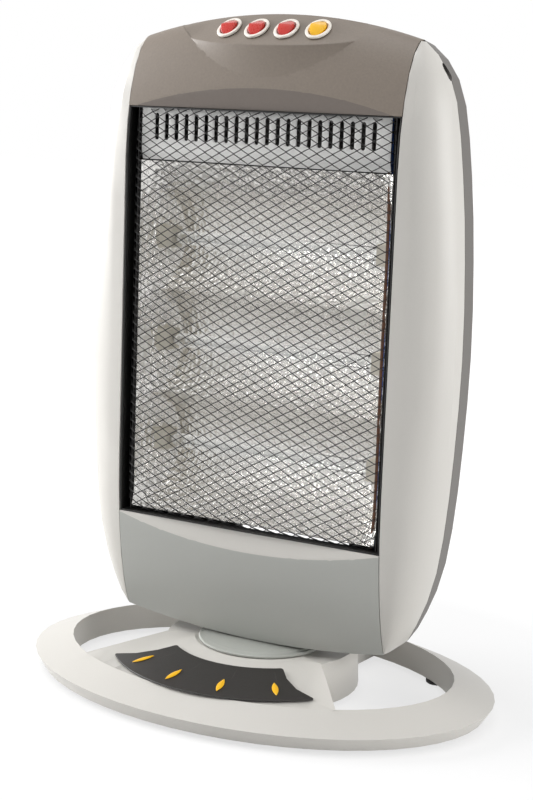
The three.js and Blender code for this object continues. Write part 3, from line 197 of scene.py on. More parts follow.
# %% A small language for shader maths
class Signal:
    """A socket that can be used in sums, so that shader maths reads as a formula."""

    def __init__(self, board, socket):
        self.board, self.socket = board, socket

    def maths(self, operation, *values):
        return self.board.add("ShaderNodeMath", {"operation": operation}, dict(enumerate(values)))

    def __add__(self, other):
        return self.maths("ADD", self, other)

    def __radd__(self, other):
        return self.maths("ADD", other, self)

    def __sub__(self, other):
        return self.maths("SUBTRACT", self, other)

    def __rsub__(self, other):
        return self.maths("SUBTRACT", other, self)

    def __mul__(self, other):
        return self.maths("MULTIPLY", self, other)

    def magnitude(self):
        return self.maths("ABSOLUTE", self)

    def root(self):
        return self.maths("SQRT", self)

    def clamped(self, low=0.0, high=1.0):
        return self.maths("MINIMUM", self.maths("MAXIMUM", self, low), high)


class Board:
    """One material's node board."""

    def __init__(self, name):
        self.material = bpy.data.materials.new(name)
        self.material.use_nodes = True
        self.tree = self.material.node_tree
        self.tree.nodes.clear()
        self.output = self.tree.nodes.new("ShaderNodeOutputMaterial")

    def add(self, kind, settings=None, inputs=None, out=0):
        """Any node: its settings first, then the values or links of its sockets."""
        node = self.tree.nodes.new(kind)
        for key, value in (settings or {}).items():
            setattr(node, key, value)
        for key, value in (inputs or {}).items():
            if isinstance(value, Signal):
                self.tree.links.new(value.socket, node.inputs[key])
            else:
                node.inputs[key].default_value = value
        return Signal(self, node.outputs[out])

    def finish(self, shader):
        self.tree.links.new(shader.socket, self.output.inputs["Surface"])
        return self.material

    def place(self):
        return self.add("ShaderNodeTexCoord", out="Object")

    def noise(self, size, detail=2.0):
        """Cloudy variation from 0 to 1, with spots of about a size in metres."""
        values = {"Vector": self.place(), "Scale": 1 / size, "Detail": detail}
        return self.add("ShaderNodeTexNoise", {}, values, out="Fac")

    def tint(self, color, tone):
        """A colour made lighter or darker by a signal."""
        return self.add("ShaderNodeVectorMath", {"operation": "SCALE"}, {0: color[:3], "Scale": tone})

    def mix(self, share, first, second):
        """From the first colour to the second."""
        kind = {"data_type": "RGBA"}
        full = [c if isinstance(c, Signal) else (*c[:3], 1) for c in (first, second)]
        return self.add("ShaderNodeMix", kind, {0: share, 6: full[0], 7: full[1]}, out=2)

    def bump(self, height, strength, depth):
        values = {"Height": height, "Strength": strength, "Distance": depth}
        return self.add("ShaderNodeBump", {}, values)

    def surface(self, color, roughness, normal=None, **constants):
        """The Principled surface. Only what varies is linked; the rest is set on its own socket."""
        values = {"Base Color": color if isinstance(color, Signal) else (*color[:3], 1), "Roughness": roughness}
        if normal:
            values["Normal"] = normal
        values.update({key.replace("_", " "): value for key, value in constants.items()})
        return self.add("ShaderNodeBsdfPrincipled", {}, values)


def linear(*rgb):
    """A colour as it looks on a screen, 0 to 255, turned into the linear values that light uses."""
    return tuple(c / 3294.6 if c <= 10.31 else ((c / 255 + 0.055) / 1.055) ** 2.4 for c in rgb)


print("a mid grey of 128 is", [round(c, 3) for c in linear(128, 128, 128)])

# %% Floor, backdrop and lamps
def floor_finish():
    board = Board("pale_floor")
    rays = board.add("ShaderNodeLightPath", out="Is Camera Ray")
    glossy = board.add("ShaderNodeLightPath", out="Is Glossy Ray")
    clear = board.add("ShaderNodeLightPath", out="Is Transmission Ray")
    far = board.add("ShaderNodeVectorMath", {"operation": "LENGTH"}, {0: board.place()}, out="Value")
    paleness = 0.6 + ((far - 0.26) * 2.2).clamped(0.0, 0.4)
    seen = (rays + glossy + clear).clamped() * paleness
    speck = board.noise(0.03)
    matt = board.add("ShaderNodeBsdfDiffuse", {}, {"Color": board.tint((0.72, 0.72, 0.72), 0.99 + speck * 0.02)})
    glow = board.add("ShaderNodeEmission", {}, {"Color": (1, 1, 1, 1), "Strength": 1.16})
    both = board.add("ShaderNodeMixShader", {}, {0: seen, 1: matt, 2: glow})
    return board.finish(both)


clear_selection()
bpy.ops.mesh.primitive_plane_add(size=14, location=(0, 0, -0.0004))
floor = named("studio_floor")
floor.data.materials.append(floor_finish())

world = bpy.data.worlds.new("white_studio")
bpy.context.scene.world = world
world.use_nodes = True
sky = world.node_tree
sky.nodes.clear()
paths = sky.nodes.new("ShaderNodeLightPath")
total = sky.nodes.new("ShaderNodeMath")
total.operation = "MAXIMUM"
whole = sky.nodes.new("ShaderNodeMath")
whole.operation = "MAXIMUM"
sky.links.new(paths.outputs["Is Camera Ray"], total.inputs[0])
sky.links.new(paths.outputs["Is Glossy Ray"], total.inputs[1])
sky.links.new(total.outputs[0], whole.inputs[0])
sky.links.new(paths.outputs["Is Transmission Ray"], whole.inputs[1])
fill = sky.nodes.new("ShaderNodeBackground")
fill.inputs["Color"].default_value = (0.97, 0.98, 1, 1)
fill.inputs["Strength"].default_value = 0.30
white = sky.nodes.new("ShaderNodeBackground")
white.inputs["Color"].default_value = (1, 1, 1, 1)
choice = sky.nodes.new("ShaderNodeMixShader")
sky.links.new(whole.outputs[0], choice.inputs[0])
sky.links.new(fill.outputs[0], choice.inputs[1])
sky.links.new(white.outputs[0], choice.inputs[2])
sky_output = sky.nodes.new("ShaderNodeOutputWorld")
sky.links.new(choice.outputs[0], sky_output.inputs["Surface"])


def soft_lamp(name, place, target, size, power):
    """A square lamp that faces a point."""
    data = bpy.data.lights.new(name, "AREA")
    data.size, data.energy = size, power
    lamp = bpy.data.objects.new(name, data)
    bpy.context.scene.collection.objects.link(lamp)
    lamp.location = place
    lamp.rotation_euler = (Vector(target) - Vector(place)).to_track_quat("-Z", "Y").to_euler()
    return lamp


soft_lamp("left_lamp", (-2.3, -0.5, 0.85), (0, 0, 0.25), 1.5, 74)
soft_lamp("right_lamp", (2.3, 0.1, 0.65), (0, 0, 0.25), 1.3, 34)
soft_lamp("top_lamp", (-0.3, -0.45, 2.5), (0, 0, 0.2), 1.6, 24)
bpy.context.scene.view_settings.view_transform = "Standard"

# %% [markdown]
# ## Finishes
# Most of the heater is injection-moulded plastic with a fine spark-eroded grain: the mould's
# surface prints tiny pits that break up the highlight. Each finish below varies a little in tone
# and gloss, as real mouldings do, and its pits come from a bump rather than from more faces.

# %% Moulded plastics
def moulded(name, color, roughness, grain, depth, speckle=0.03, cloud=0.03, **constants):
    """Plastic with a grain of pits, a speckled tone and broad faint clouds."""
    board = Board(name)
    pits = board.noise(grain, 3.0)
    fine = board.noise(grain * 0.45, 1.0)
    clouds = board.noise(0.11, 2.0)
    tone = 1 + (pits - 0.5) * speckle * 2 + (clouds - 0.5) * cloud * 2
    gloss = roughness + (clouds - 0.5) * 0.12 + (fine - 0.5) * 0.08
    relief = board.bump(pits * 0.6 + fine * 0.4, 0.5, depth)
    return board.finish(board.surface(board.tint(color, tone), gloss, relief, **constants))


FINISH = {
    "pale_plastic": moulded("pale_grey_plastic", linear(206, 203, 197), 0.42, 0.0011, 0.00010, 0.02, 0.02),
    "cover_plastic": moulded("warm_grey_plastic", linear(132, 122, 112), 0.46, 0.0016, 0.0003, 0.1, 0.03,
                              Specular_IOR_Level=0.3),
    "rear_plastic": moulded("dark_grey_plastic", linear(96, 92, 88), 0.55, 0.0016, 0.00022, 0.05, 0.03),
    "dark_plastic": moulded("black_plastic", linear(44, 41, 39), 0.5, 0.0012, 0.00012, 0.06, 0.04),
    "collar_plastic": moulded("collar_plastic", linear(178, 180, 174), 0.22, 0.002, 0.00006, 0.02, 0.03),
    "yellow_plastic": moulded("yellow_plastic", linear(246, 188, 26), 0.3, 0.002, 0.00004, 0.02, 0.03),
    "red_plastic": moulded("red_plastic", linear(196, 50, 40), 0.28, 0.002, 0.00004, 0.02, 0.03),
    "bezel_plastic": moulded("cream_plastic", linear(240, 234, 224), 0.3, 0.002, 0.00004, 0.02, 0.02),
    "foot_rubber": moulded("black_rubber", linear(42, 41, 40), 0.8, 0.0009, 0.0001, 0.08, 0.05),
    "blue_lead": moulded("blue_sleeve", linear(52, 92, 170), 0.45, 0.0015, 0.00005),
    "brown_lead": moulded("brown_sleeve", linear(104, 66, 42), 0.45, 0.0015, 0.00005),
    "steatite": moulded("cream_ceramic", linear(226, 220, 206), 0.65, 0.0008, 0.00008, 0.05, 0.04),
}
# A darker copy of the pale plastic for the lower panel: painted shade where the panel faces down and curls away
# from the light.
LOWER_PANEL_PAINTED_SHADE = moulded("lower_panel_painted_shade", linear(176, 177, 172), 0.4, 0.0011, 0.0001, 0.02, 0.03)
# The plane above the window faces a little downwards and lies in shade; this darker copy of the cover's plastic
# paints that shade on it.
ARCH_PAINTED_SHADE = moulded("arch_painted_shade", linear(108, 99, 92), 0.5, 0.0016, 0.00022, 0.06, 0.03)
print("plastics:", sorted(FINISH))

# %% [markdown]
# ## Metals
# Painted sheet keeps a slight orange-peel ripple, zinc-plated steel shows cloudy patches, and the
# reflector is bright aluminium rolled with a hammered pattern. That pattern is a field of small
# round dents, so a smooth Voronoi distance drives its bump: each cell is one dent.

# %% Painted, plated and hammered metal
def painted(name, color, roughness):
    board = Board(name)
    peel = board.noise(0.004, 2.0)
    dust = board.noise(0.03, 4.0)
    tone = 1 + (dust - 0.5) * 0.08
    relief = board.bump(peel, 0.25, 0.0002)
    return board.finish(board.surface(board.tint(color, tone), roughness + (dust - 0.5) * 0.2, relief))


def plated(name, color):
    board = Board(name)
    spangle = board.add("ShaderNodeTexVoronoi", {}, {"Vector": board.place(), "Scale": 160.0}, out="Distance")
    streaks = board.noise(0.02, 4.0)
    tone = 0.92 + spangle * 0.12 + (streaks - 0.5) * 0.1
    relief = board.bump(streaks, 0.2, 0.0002)
    return board.finish(board.surface(board.tint(color, tone), 0.32 + (streaks - 0.5) * 0.25, relief, Metallic=1.0))


def hammered(name, color):
    board = Board(name)
    stretch = board.add("ShaderNodeMapping", {}, {"Vector": board.place(), "Scale": (1.15, 1.0, 0.85)})
    cells = {"Vector": stretch, "Scale": 310.0, "Smoothness": 0.35}
    dents = board.add("ShaderNodeTexVoronoi", {"feature": "SMOOTH_F1"}, cells, out="Distance")
    clouds = board.noise(0.05, 2.0)
    tone = 0.97 + (clouds - 0.5) * 0.08
    relief = board.bump(dents, 1.0, 0.0011)
    shade = board.surface(board.tint(color, tone), 0.2 + clouds * 0.12, relief, Metallic=0.8)
    return board.finish(shade)


FINISH["black_wire"] = painted("black_enamel", linear(12, 11, 10), 0.5)
FINISH["black_paint"] = painted("black_heat_paint", linear(34, 32, 31), 0.6)
FINISH["white_paint"] = painted("white_heat_paint", linear(252, 251, 248), 0.4)
FINISH["zinc_steel"] = plated("zinc_steel", linear(190, 192, 194))
FINISH["bright_aluminium"] = hammered("hammered_aluminium", linear(249, 247, 243))
print("metals and paints:", len(FINISH))

# %% [markdown]
# ## Quartz
# A lamp's tube is clear quartz, so it shows only its highlights and a bent view of the reflector.
# Near its ends the tube is pressed flat and looks milky, which the roughness follows along X.

# %% Quartz
def quartz():
    board = Board("clear_quartz")
    axes = board.add("ShaderNodeSeparateXYZ", {}, {"Vector": board.place()}, out="X")
    end = (axes.magnitude() - 0.068) * 60.0
    milky = 0.03 + end.clamped() * 0.4
    tone = board.mix(end.clamped(), (0.97, 0.98, 0.98), (0.9, 0.9, 0.89))
    return board.finish(board.surface(tone, milky, Transmission_Weight=1.0, IOR=1.46))


FINISH["quartz"] = quartz()
for node, piece in NODES.items():
    piece.data.materials.clear()
    piece.data.materials.append(FINISH[SLOT_OF[node]])
print("every solid has a finish:", len(NODES))

# %% [markdown]
# ## The moulded shells
# The frame's shells already have the right shape, but their faces are loose triangles with hard
# edges. A copy with its doubles merged can be shaded smoothly, which is all the large ones need.

# %% Copies with soft edges
def soft_copy(node, name, degrees=32, edge=0.0):
    """A merged, smooth copy of a frame solid."""
    piece = bpy.data.objects.new(name, NODES[node].data.copy())
    bpy.context.scene.collection.objects.link(piece)
    pick(piece, "verts", lambda vertex: True)
    bpy.ops.mesh.remove_doubles(threshold=0.00002)
    bpy.ops.mesh.dissolve_limited(angle_limit=math.radians(0.4))
    object_mode()
    if edge:
        modified(piece, "BEVEL", width=edge, segments=2, limit_method="ANGLE", angle_limit=math.radians(38),
                 miter_outer="MITER_ARC")
    smooth(piece, degrees)
    return modified(piece, "WEIGHTED_NORMAL", keep_sharp=True)


def stands_for(piece, node):
    return put_on(piece, BODY_OF[node], SLOT_OF[node], node)


SHELLS = {
    "left_side_panel": "left_side_moulding",
    "right_side_panel": "right_side_moulding",
    "rear_cover": "rear_moulding",
    "rear_grip_tub": "grip_tub_moulding",
    "base_ring": "oval_base_moulding",
    "neck_collar": "collar_moulding",
    "cord_inlet": "cord_inlet_moulding",
    "base_bottom_plate": "bottom_plate_moulding",
}
for node, name in SHELLS.items():
    stands_for(soft_copy(node, name), node)

# %% [markdown]
# The small fittings take the same treatment, and a bevel of a quarter of a millimetre besides,
# which catches a thin highlight as a real rounded edge does: feet, screws, lamp holders,
# brackets, the turntable's metalwork and the parts of the swing drive.

# %% Small fittings
MADE_LATER = ("top_cover", "lower_front_panel", "front_grille", "reflector", "vent_plate", "base_inset")
fittings = [node for node in NODES if node not in SHELLS and node not in MADE_LATER
            and not node.startswith(("switch_", "base_marker", "halogen_tube"))]
for node in fittings:
    stands_for(soft_copy(node, node + "_finished", edge=0.25 * MM), node)
print("fittings:", len(fittings))

# %% [markdown]
# ## The front's own curve
# The head's front is a shallow bow from side to side that rolls back at the top and the bottom.
# The wire mesh, its frame and the two covers all follow it, so it is written once as a rule for
# the depth at any place, in millimetres.

# %% The front surface as a rule
SPLIT = 1.5  # depth at which the front shells meet the rear cover
SEAM_HALF = 106.3  # from the middle to a side panel's seam
HEAD_TOP, SEAM_TOP = 482, 466.5
HEAD_LOW, SEAM_LOW = 36.6, 45
CROWN, CHIN = 378, 160  # heights at which the front starts to roll back
WINDOW_HIGH, WINDOW_LOW = 416.3, 120.4
FRONT_DEEP, BOW = 31.8, 3  # depth of the front at its seams, and what the middle adds
CHIN_TUCK = 13  # the lower curve would end this far below its cut edge


def arc(x, middle, seam):
    """Height of a shallow arc that runs from seam to seam."""
    rise = middle - seam
    radius = (SEAM_HALF ** 2 + rise ** 2) / (2 * rise)
    return middle - radius + math.copysign(math.sqrt(radius ** 2 - x ** 2), radius)


def top_edge(x):
    return arc(x, HEAD_TOP, SEAM_TOP)


def low_edge(x):
    return arc(x, HEAD_LOW, SEAM_LOW)


def full_depth(x):
    return FRONT_DEEP + BOW * (1 - (x / SEAM_HALF) ** 2)


def front_depth(x, z):
    """How far the front stands ahead of the head's split."""
    share = 1.0
    if z > CROWN:
        share = math.sqrt(max(0, 1 - ((z - CROWN) / (top_edge(x) - CROWN)) ** 2))
    elif z < CHIN:
        share = math.sqrt(max(0, 1 - ((CHIN - z) / (CHIN - low_edge(x) + CHIN_TUCK)) ** 2))
    return full_depth(x) * share


print("the front is", round(front_depth(0, 250), 1), "mm deep in the middle")

# %% [markdown]
# ## Two scooped covers
# Above and below the window the covers are planed off towards the mesh. A flat cut through a
# bowed surface ends in an arc, which is exactly the line that shows on both covers. Each cover
# starts as a fine grid laid on the curve. Bisect draws the arc where the plane meets it, what
# stands ahead of the plane is pushed back onto it, and Solidify gives the wall its thickness.

# %% A grid laid on the front's curve
def upright_grid(name, columns, rows, width, height, middle):
    """A grid in the XZ plane, in millimetres."""
    clear_selection()
    bpy.ops.mesh.primitive_grid_add(x_subdivisions=columns, y_subdivisions=rows, size=1,
                                    location=(0, 0, middle * MM), rotation=(math.pi / 2, 0, 0))
    bpy.context.object.scale = (width * MM, height * MM, 1)
    return named(name)


def lean_of(scoop):
    edge_z, edge_depth, far_z, far_depth = scoop
    return (far_depth - edge_depth) / (far_z - edge_z)


def on_plane(piece, scoop):
    """The faces of a cover that lie on its plane, in front."""
    edge_z, edge_depth, far_z, _ = scoop
    low, high = min(edge_z, far_z) - 0.2, max(edge_z, far_z) + 0.2

    def away(face):
        plane = (SPLIT - edge_depth) * MM - lean_of(scoop) * (face.center.z - edge_z * MM)
        return abs(plane - face.center.y)

    return [face for face in piece.data.polygons if low < face.center.z / MM < high
            and face.normal.y < -0.5 and away(face) < 0.00003]


def front_cover(name, start, edge, full_reach, finish, scoop):
    """A cover between the seams. The curve starts at one height and would end at its full reach."""
    edge_z, edge_depth, far_z, _ = scoop
    skin = upright_grid(name, 76, 34, 212.2, 100, 50)

    def laid(point):
        x, share = point.x / MM, point.z / MM / 100
        span = abs(full_reach(x) - start)
        first, last = (math.asin(min(1, abs(end - start) / span)) for end in (edge, finish(x)))
        angle = first + (last - first) * share
        height = start + math.copysign(span, full_reach(x) - start) * math.sin(angle)
        return Vector((point.x, (SPLIT - full_depth(x) * math.cos(angle)) * MM, height * MM))

    place_vertices(skin, laid)
    lean = lean_of(scoop)
    pick(skin, "faces", lambda face: True)
    bpy.ops.mesh.bisect(plane_co=(0, (SPLIT - edge_depth) * MM, edge_z * MM),
                        plane_no=Vector((0, -1, -lean)).normalized())
    object_mode()
    moved = 0
    for vertex in skin.data.vertices:
        over = (SPLIT - edge_depth) * MM - lean * (vertex.co.z - edge_z * MM) - vertex.co.y
        if over > 0 and abs(vertex.co.z / MM - edge_z) < abs(far_z - edge_z) + 1:
            vertex.co.y += over
            moved += 1
    print(f"{name}: {moved} points pushed back onto the plane")
    pick(skin, "faces", lambda face: True)
    bpy.ops.mesh.normals_make_consistent(inside=False)
    work = bmesh.from_edit_mesh(skin.data)
    work.faces.ensure_lookup_table()
    if work.faces[0].normal.y > 0:
        bpy.ops.mesh.flip_normals()
    object_mode()
    return modified(skin, "SOLIDIFY", thickness=2.4 * MM, offset=-1, use_even_offset=True)


def taken_out(piece, *cutters):
    for cutter in cutters:
        modified(piece, "BOOLEAN", operation="DIFFERENCE", object=cutter, solver="EXACT")
        bpy.data.objects.remove(cutter)
    return piece


ARCH = (WINDOW_HIGH, 29.1, 431.0, 29.94)  # height and depth of the plane at the window, then at the arc's crown
SCOOP = (WINDOW_LOW, 30.1, 106.0, 31.95)
top_cover = front_cover("top_cover_moulding", CROWN, WINDOW_HIGH, top_edge, top_edge, ARCH)
print("top cover:", len(top_cover.data.polygons), "faces")

# %% [markdown]
# ## The control pod
# A half-round pod grows out of the top cover. Its top is a sloping plane and its wall drops
# almost straight until the cover's bow swallows it, which draws the long curved foot line. The
# pod is a grid in plan, extruded down, and its rim is bevelled before it joins the cover.

# %% Pod
POD_SLOPE, POD_HALF, POD_DEEP = 0.746, 79, 29.4  # rise of its top per mm of depth, half width, depth
RIM_END = 76.5  # beyond this the pod is too thin for its rim's bevel
SWITCH_PITCH, SWITCH_ROW, ROW_BEND = 23, -14, 480


def pod_top(x, y):
    """The pod's sloping plane, which eases into the cover's own curve at both ends."""
    plane = top_edge(x) + POD_SLOPE * (y - SPLIT)
    deep = min(1, max(0, (SPLIT - y) / full_depth(x)))
    crown = CROWN + (top_edge(x) - CROWN) * math.sqrt(1 - deep ** 2)
    ease = min(1, max(0, (abs(x) - 56) / 21))
    return plane + max(0, crown - 0.25 - plane) * ease * ease * (3 - 2 * ease)


def pod_solid(name, far_height, draft, back, inset=0.0):
    clear_selection()
    bpy.ops.mesh.primitive_grid_add(x_subdivisions=80, y_subdivisions=10, size=1, location=(0, 0, 0))
    solid = named(name)

    def in_plan(point):
        x = 2 * point.x * (POD_HALF - 0.3 - inset)
        deep = POD_DEEP * (1 - (x / POD_HALF) ** 2) ** 0.55 - inset
        y = back - (deep + back - SPLIT) * (0.5 - point.y)
        return Vector((x * MM, y * MM, (pod_top(x, y) - inset / 2) * MM))

    place_vertices(solid, in_plan)
    pick(solid, "faces", lambda face: True)
    # A metre up, the far side is easy to tell from the top. The loop then sets it in its place.
    bpy.ops.mesh.extrude_region_move(TRANSFORM_OT_translate={"value": (0, 0, 1.0)})
    object_mode()
    for vertex in solid.data.vertices:
        if vertex.co.z > 1:
            vertex.co.z = far_height * MM
            vertex.co.y = SPLIT * MM + (vertex.co.y - SPLIT * MM) * draft
    pick(solid, "faces", lambda face: True)
    bpy.ops.mesh.normals_make_consistent(inside=False)
    object_mode()
    return solid


pod = pod_solid("control_pod", 430, 0.945, 1.2)


def on_the_rim(edge):
    ends = [vertex.co for vertex in edge.verts]
    level = all(abs(p.z - pod_top(p.x / MM, p.y / MM) * MM) < 1e-5 for p in ends)
    thick = max(abs(p.x) for p in ends) < RIM_END * MM
    return level and thick and len(edge.link_faces) == 2 and edge.calc_face_angle() > 0.7


print("rim edges bevelled:", pick(pod, "edges", on_the_rim))
bpy.ops.mesh.bevel(offset=0.8 * MM, segments=3, clamp_overlap=True)
object_mode()
taken_out(top_cover, pod_solid("pod_clearance", 520, 1.0, 5, 0.12))
modified(top_cover, "BOOLEAN", operation="UNION", object=pod, solver="EXACT")
bpy.data.objects.remove(pod)


def switch_place(index):
    """The frame of a switch on the sloping top: its origin and its right, back and up."""
    x = (index - 1.5) * SWITCH_PITCH
    y = SWITCH_ROW + x ** 2 / ROW_BEND
    tilt = (top_edge(x - 1) - top_edge(x + 1)) / 2
    up = Vector((tilt, -POD_SLOPE, 1)).normalized()
    right = Vector((1, 0, -tilt)).normalized()
    turn = Matrix((right, up.cross(right), up)).transposed().to_4x4()
    return Matrix.Translation(Vector((x, y, pod_top(x, y))) * MM) @ turn


def oval_block(name, width, length, low, high, sides=48):
    """An upright oval cylinder between two heights, in millimetres."""
    clear_selection()
    bpy.ops.mesh.primitive_cylinder_add(vertices=sides, radius=0.5, depth=1, location=(0, 0, (low + high) / 2 * MM))
    bpy.context.object.scale = (width * MM, length * MM, (high - low) * MM)
    return named(name)


holes = []
for index in range(4):
    hole = oval_block(f"switch_hole_{index}", 14.6, 18.9, -22, 7, 42)
    # A hair beside the switch, so that no face of the cut lies on another.
    hole.data.transform(switch_place(index) @ Matrix.Translation((0.03 * MM, 0.02 * MM, 0)))
    holes.append(hole)
taken_out(top_cover, joined(*holes))
# The arch's plane takes the darker copy of the cover's plastic: painted shade.
shaded(put_on(smooth(top_cover, 32), "head", "cover_plastic", "top_cover"),
       on_plane(top_cover, ARCH), ARCH_PAINTED_SHADE)

# %% [markdown]
# ## The lower panel
# The lower panel curls back to a flat underside. The underside is a second grid, and the hole
# for the turntable's neck is taken out of it before the two are joined.

# %% Lower panel
lower_panel = front_cover("lower_panel_moulding", CHIN, WINDOW_LOW, lambda x: low_edge(x) - CHIN_TUCK,
                          lambda x: low_edge(x) + 0.2, SCOOP)
clear_selection()
bpy.ops.mesh.primitive_grid_add(x_subdivisions=40, y_subdivisions=6, size=1, location=(0, 0, 0))
underside = named("lower_panel_underside")


def beneath(point):
    x = 2 * point.x * 105.6
    z = low_edge(x) + 0.4
    front = SPLIT - front_depth(x, z) + 1.0
    return Vector((x * MM, (front + (1.4 - front) * (point.y + 0.5)) * MM, z * MM))


place_vertices(underside, beneath)
modified(underside, "SOLIDIFY", thickness=2.2 * MM, offset=1)
neck = oval_block("neck_clearance", 60, 60, 20, 60, 64)
neck.data.transform(Matrix.Translation((0, PIVOT * MM, 0)))
lower_panel = joined(smooth(lower_panel, 32), smooth(taken_out(underside, neck), 32))
# The panel takes the darker copy, which is painted shade. Its scoop faces up and keeps the lighter pale plastic,
# which paints the light it catches.
put_on(lower_panel, "head", "pale_plastic", "lower_front_panel", finish=LOWER_PANEL_PAINTED_SHADE)
shaded(lower_panel, on_plane(lower_panel, SCOOP), FINISH["pale_plastic"])

# %% [markdown]
# ## Rocker switches
# Each switch has an oval cream flange round a well, and a rocker with two flat faces that meet in
# a ridge. The flange is an oval cylinder: its top face is inset and pushed down to make the well,
# and its rims are bevelled. Three rockers are red, and the one for the swing is yellow.

# %% Switch bodies and rockers
RIDGE_PLACE = 0.6  # a rocker's ridge lies this far behind its middle


def is_top(face):
    return face.normal.z > 0.9


def switch_body(index):
    body = oval_block(f"oval_bezel_{index + 1}", 17.4, 21.4, 0.3, 2.2)
    pick(body, "faces", is_top)
    bpy.ops.mesh.inset(thickness=2.3 * MM)
    bpy.ops.mesh.extrude_region_move(TRANSFORM_OT_translate={"value": (0, 0, -5 * MM)})
    object_mode()
    pick(body, "faces", lambda face: face.normal.z < -0.9)
    bpy.ops.mesh.inset(thickness=1.8 * MM)
    bpy.ops.mesh.extrude_region_move(TRANSFORM_OT_translate={"value": (0, 0, -16.8 * MM)})
    object_mode()
    modified(body, "BEVEL", width=0.65 * MM, segments=3, limit_method="ANGLE", angle_limit=math.radians(50))
    body.data.transform(switch_place(index))
    return smooth(body, 40)


def rocker(index):
    piece = oval_block(f"ridged_rocker_{index + 1}", 10.8, 14.8, -3.2, 4.6)
    pick(piece, "faces", lambda face: True)
    bpy.ops.mesh.bisect(plane_co=(0, RIDGE_PLACE * MM, 0), plane_no=(0, 1, 0))
    object_mode()
    for vertex in piece.data.vertices:
        if vertex.co.z > 0:
            away = vertex.co.y / MM - RIDGE_PLACE
            vertex.co.z = (4.7 - (0.36 if away > 0 else -0.5) * away) * MM
    modified(piece, "BEVEL", width=0.5 * MM, segments=3, limit_method="ANGLE", angle_limit=math.radians(25))
    piece.data.transform(switch_place(index))
    return smooth(piece, 30)


for index in range(4):
    stands_for(switch_body(index), f"switch_body_{index + 1}")
    stands_for(rocker(index), f"switch_rocker_{index + 1}")

# %% [markdown]
# ## The wire mesh
# The guard is a mesh of thin black wires that cross in flat diamonds, 18 across and 45 down, and
# it rolls back at its edges like the rim of a tray. One way is to lay 126 wires by hand. A
# quicker one is a grid whose faces are poked, which adds both diagonals. When the grid's own
# edges are then dissolved only the diagonals are left, and Wireframe turns them into wires.

# %% Wire mesh
GUARD_HALF, GUARD_LOW, GUARD_HIGH = 104.6, 121.2, 415.6
DIAMONDS_ACROSS, DIAMONDS_DOWN, WIRE = 18, 45, 1.0


def roll(distance, width, depth):
    """How far the mesh has rolled back at a distance from its edge."""
    share = max(0.0, 1 - distance / width)
    return depth * (1 - math.sqrt(max(0.0, 1 - share ** 2)))


def guard_point(point):
    x, z = point.x / MM, point.z / MM
    back = roll(GUARD_HALF - abs(x), 10, 9) + roll(z - GUARD_LOW, 13, 7) + roll(GUARD_HIGH - z, 9, 5)
    return Vector((point.x, (SPLIT - front_depth(x, z) + 2.6 + back) * MM, point.z))


mesh_wires = upright_grid("wire_mesh", DIAMONDS_ACROSS, DIAMONDS_DOWN, 2 * GUARD_HALF, GUARD_HIGH - GUARD_LOW,
                          (GUARD_LOW + GUARD_HIGH) / 2)
pick(mesh_wires, "faces", lambda face: True)
bpy.ops.mesh.poke()


def on_the_grid(edge):
    a, b = (vertex.co for vertex in edge.verts)
    return not edge.is_boundary and (abs(a.x - b.x) < 1e-6 or abs(a.z - b.z) < 1e-6)


print("grid edges dissolved:", pick(mesh_wires, "edges", on_the_grid))
bpy.ops.mesh.dissolve_edges(use_verts=False)
object_mode()
place_vertices(mesh_wires, guard_point)
modified(mesh_wires, "WIREFRAME", thickness=WIRE * MM, use_even_offset=False, use_boundary=True)

# %% [markdown]
# ## The frame round the mesh
# A folded strip of black sheet lines the window, and the mesh is welded inside it. From the
# camera's side it shows as the black band at the left and the dark line at the bottom. It starts
# as the outline of a grid, which is extruded backwards and given the thickness of the sheet.

# %% Window lining
STRIP_DEEP, SIDES_DEEPER = 9.5, 11  # depth of the strip, and what its two sides add


def lining_front(point):
    """Where the strip starts: 1 mm behind the front's curve."""
    return (SPLIT - front_depth(point.x / MM, point.z / MM) + 1.0) * MM


lining = upright_grid("window_lining", 16, 24, 211.2, 295.0, 268.35)
pick(lining, "edges", lambda edge: not edge.is_boundary)
bpy.ops.mesh.delete(type="EDGE")
object_mode()
place_vertices(lining, lambda p: Vector((p.x, lining_front(p), p.z)))
pick(lining, "edges", lambda edge: True)
bpy.ops.mesh.extrude_edges_move(TRANSFORM_OT_translate={"value": (0, STRIP_DEEP * MM, 0)})
object_mode()
for vertex in lining.data.vertices:
    if abs(vertex.co.x) > 0.105 and vertex.co.y > lining_front(vertex.co) + 0.005:
        vertex.co.y += SIDES_DEEPER * MM
pick(lining, "faces", lambda face: True)
bpy.ops.mesh.normals_make_consistent(inside=True)
object_mode()
modified(lining, "SOLIDIFY", thickness=0.9 * MM, offset=1)
guard = joined(mesh_wires, lining)
guard.name = guard.data.name = "wire_guard"
stands_for(guard, "front_grille")

# %% [markdown]
# ## The reflector
# One sheet of bright aluminium is pressed into a parabolic trough behind each lamp, with a wing
# at each side that leans outwards to the front. The sheet is a fine grid whose rows follow the
# section, so the troughs are smooth, and Solidify gives it the gauge of the metal.

# %% Hammered reflector
LOW_FLANGE, HIGH_FLANGE = (-23.0, 124.4), (-19.5, 378.0)  # depth and height of the sheet's ends
RIDGE, TROUGH_DEEP = -9, 27  # depth of the ridges, and how far a trough goes back from them
TROUGHS, TROUGH_START, TROUGH_HIGH, STEPS = 3, 135, 75, 16


def reflector_section(share):
    """Depth and height along the sheet, from its bottom flange to its top one."""
    points = [LOW_FLANGE]
    for trough in range(TROUGHS):
        for step in range(1 if trough else 0, STEPS + 1):
            across = 2 * step / STEPS - 1
            points.append((RIDGE + TROUGH_DEEP * (1 - across * across),
                           TROUGH_START + TROUGH_HIGH * (trough + step / STEPS)))
    points.append(HIGH_FLANGE)
    return points[round(share * (len(points) - 1))]


sheet = upright_grid("reflector_sheet", 100, TROUGHS * STEPS + 2, 198, 100, 50)


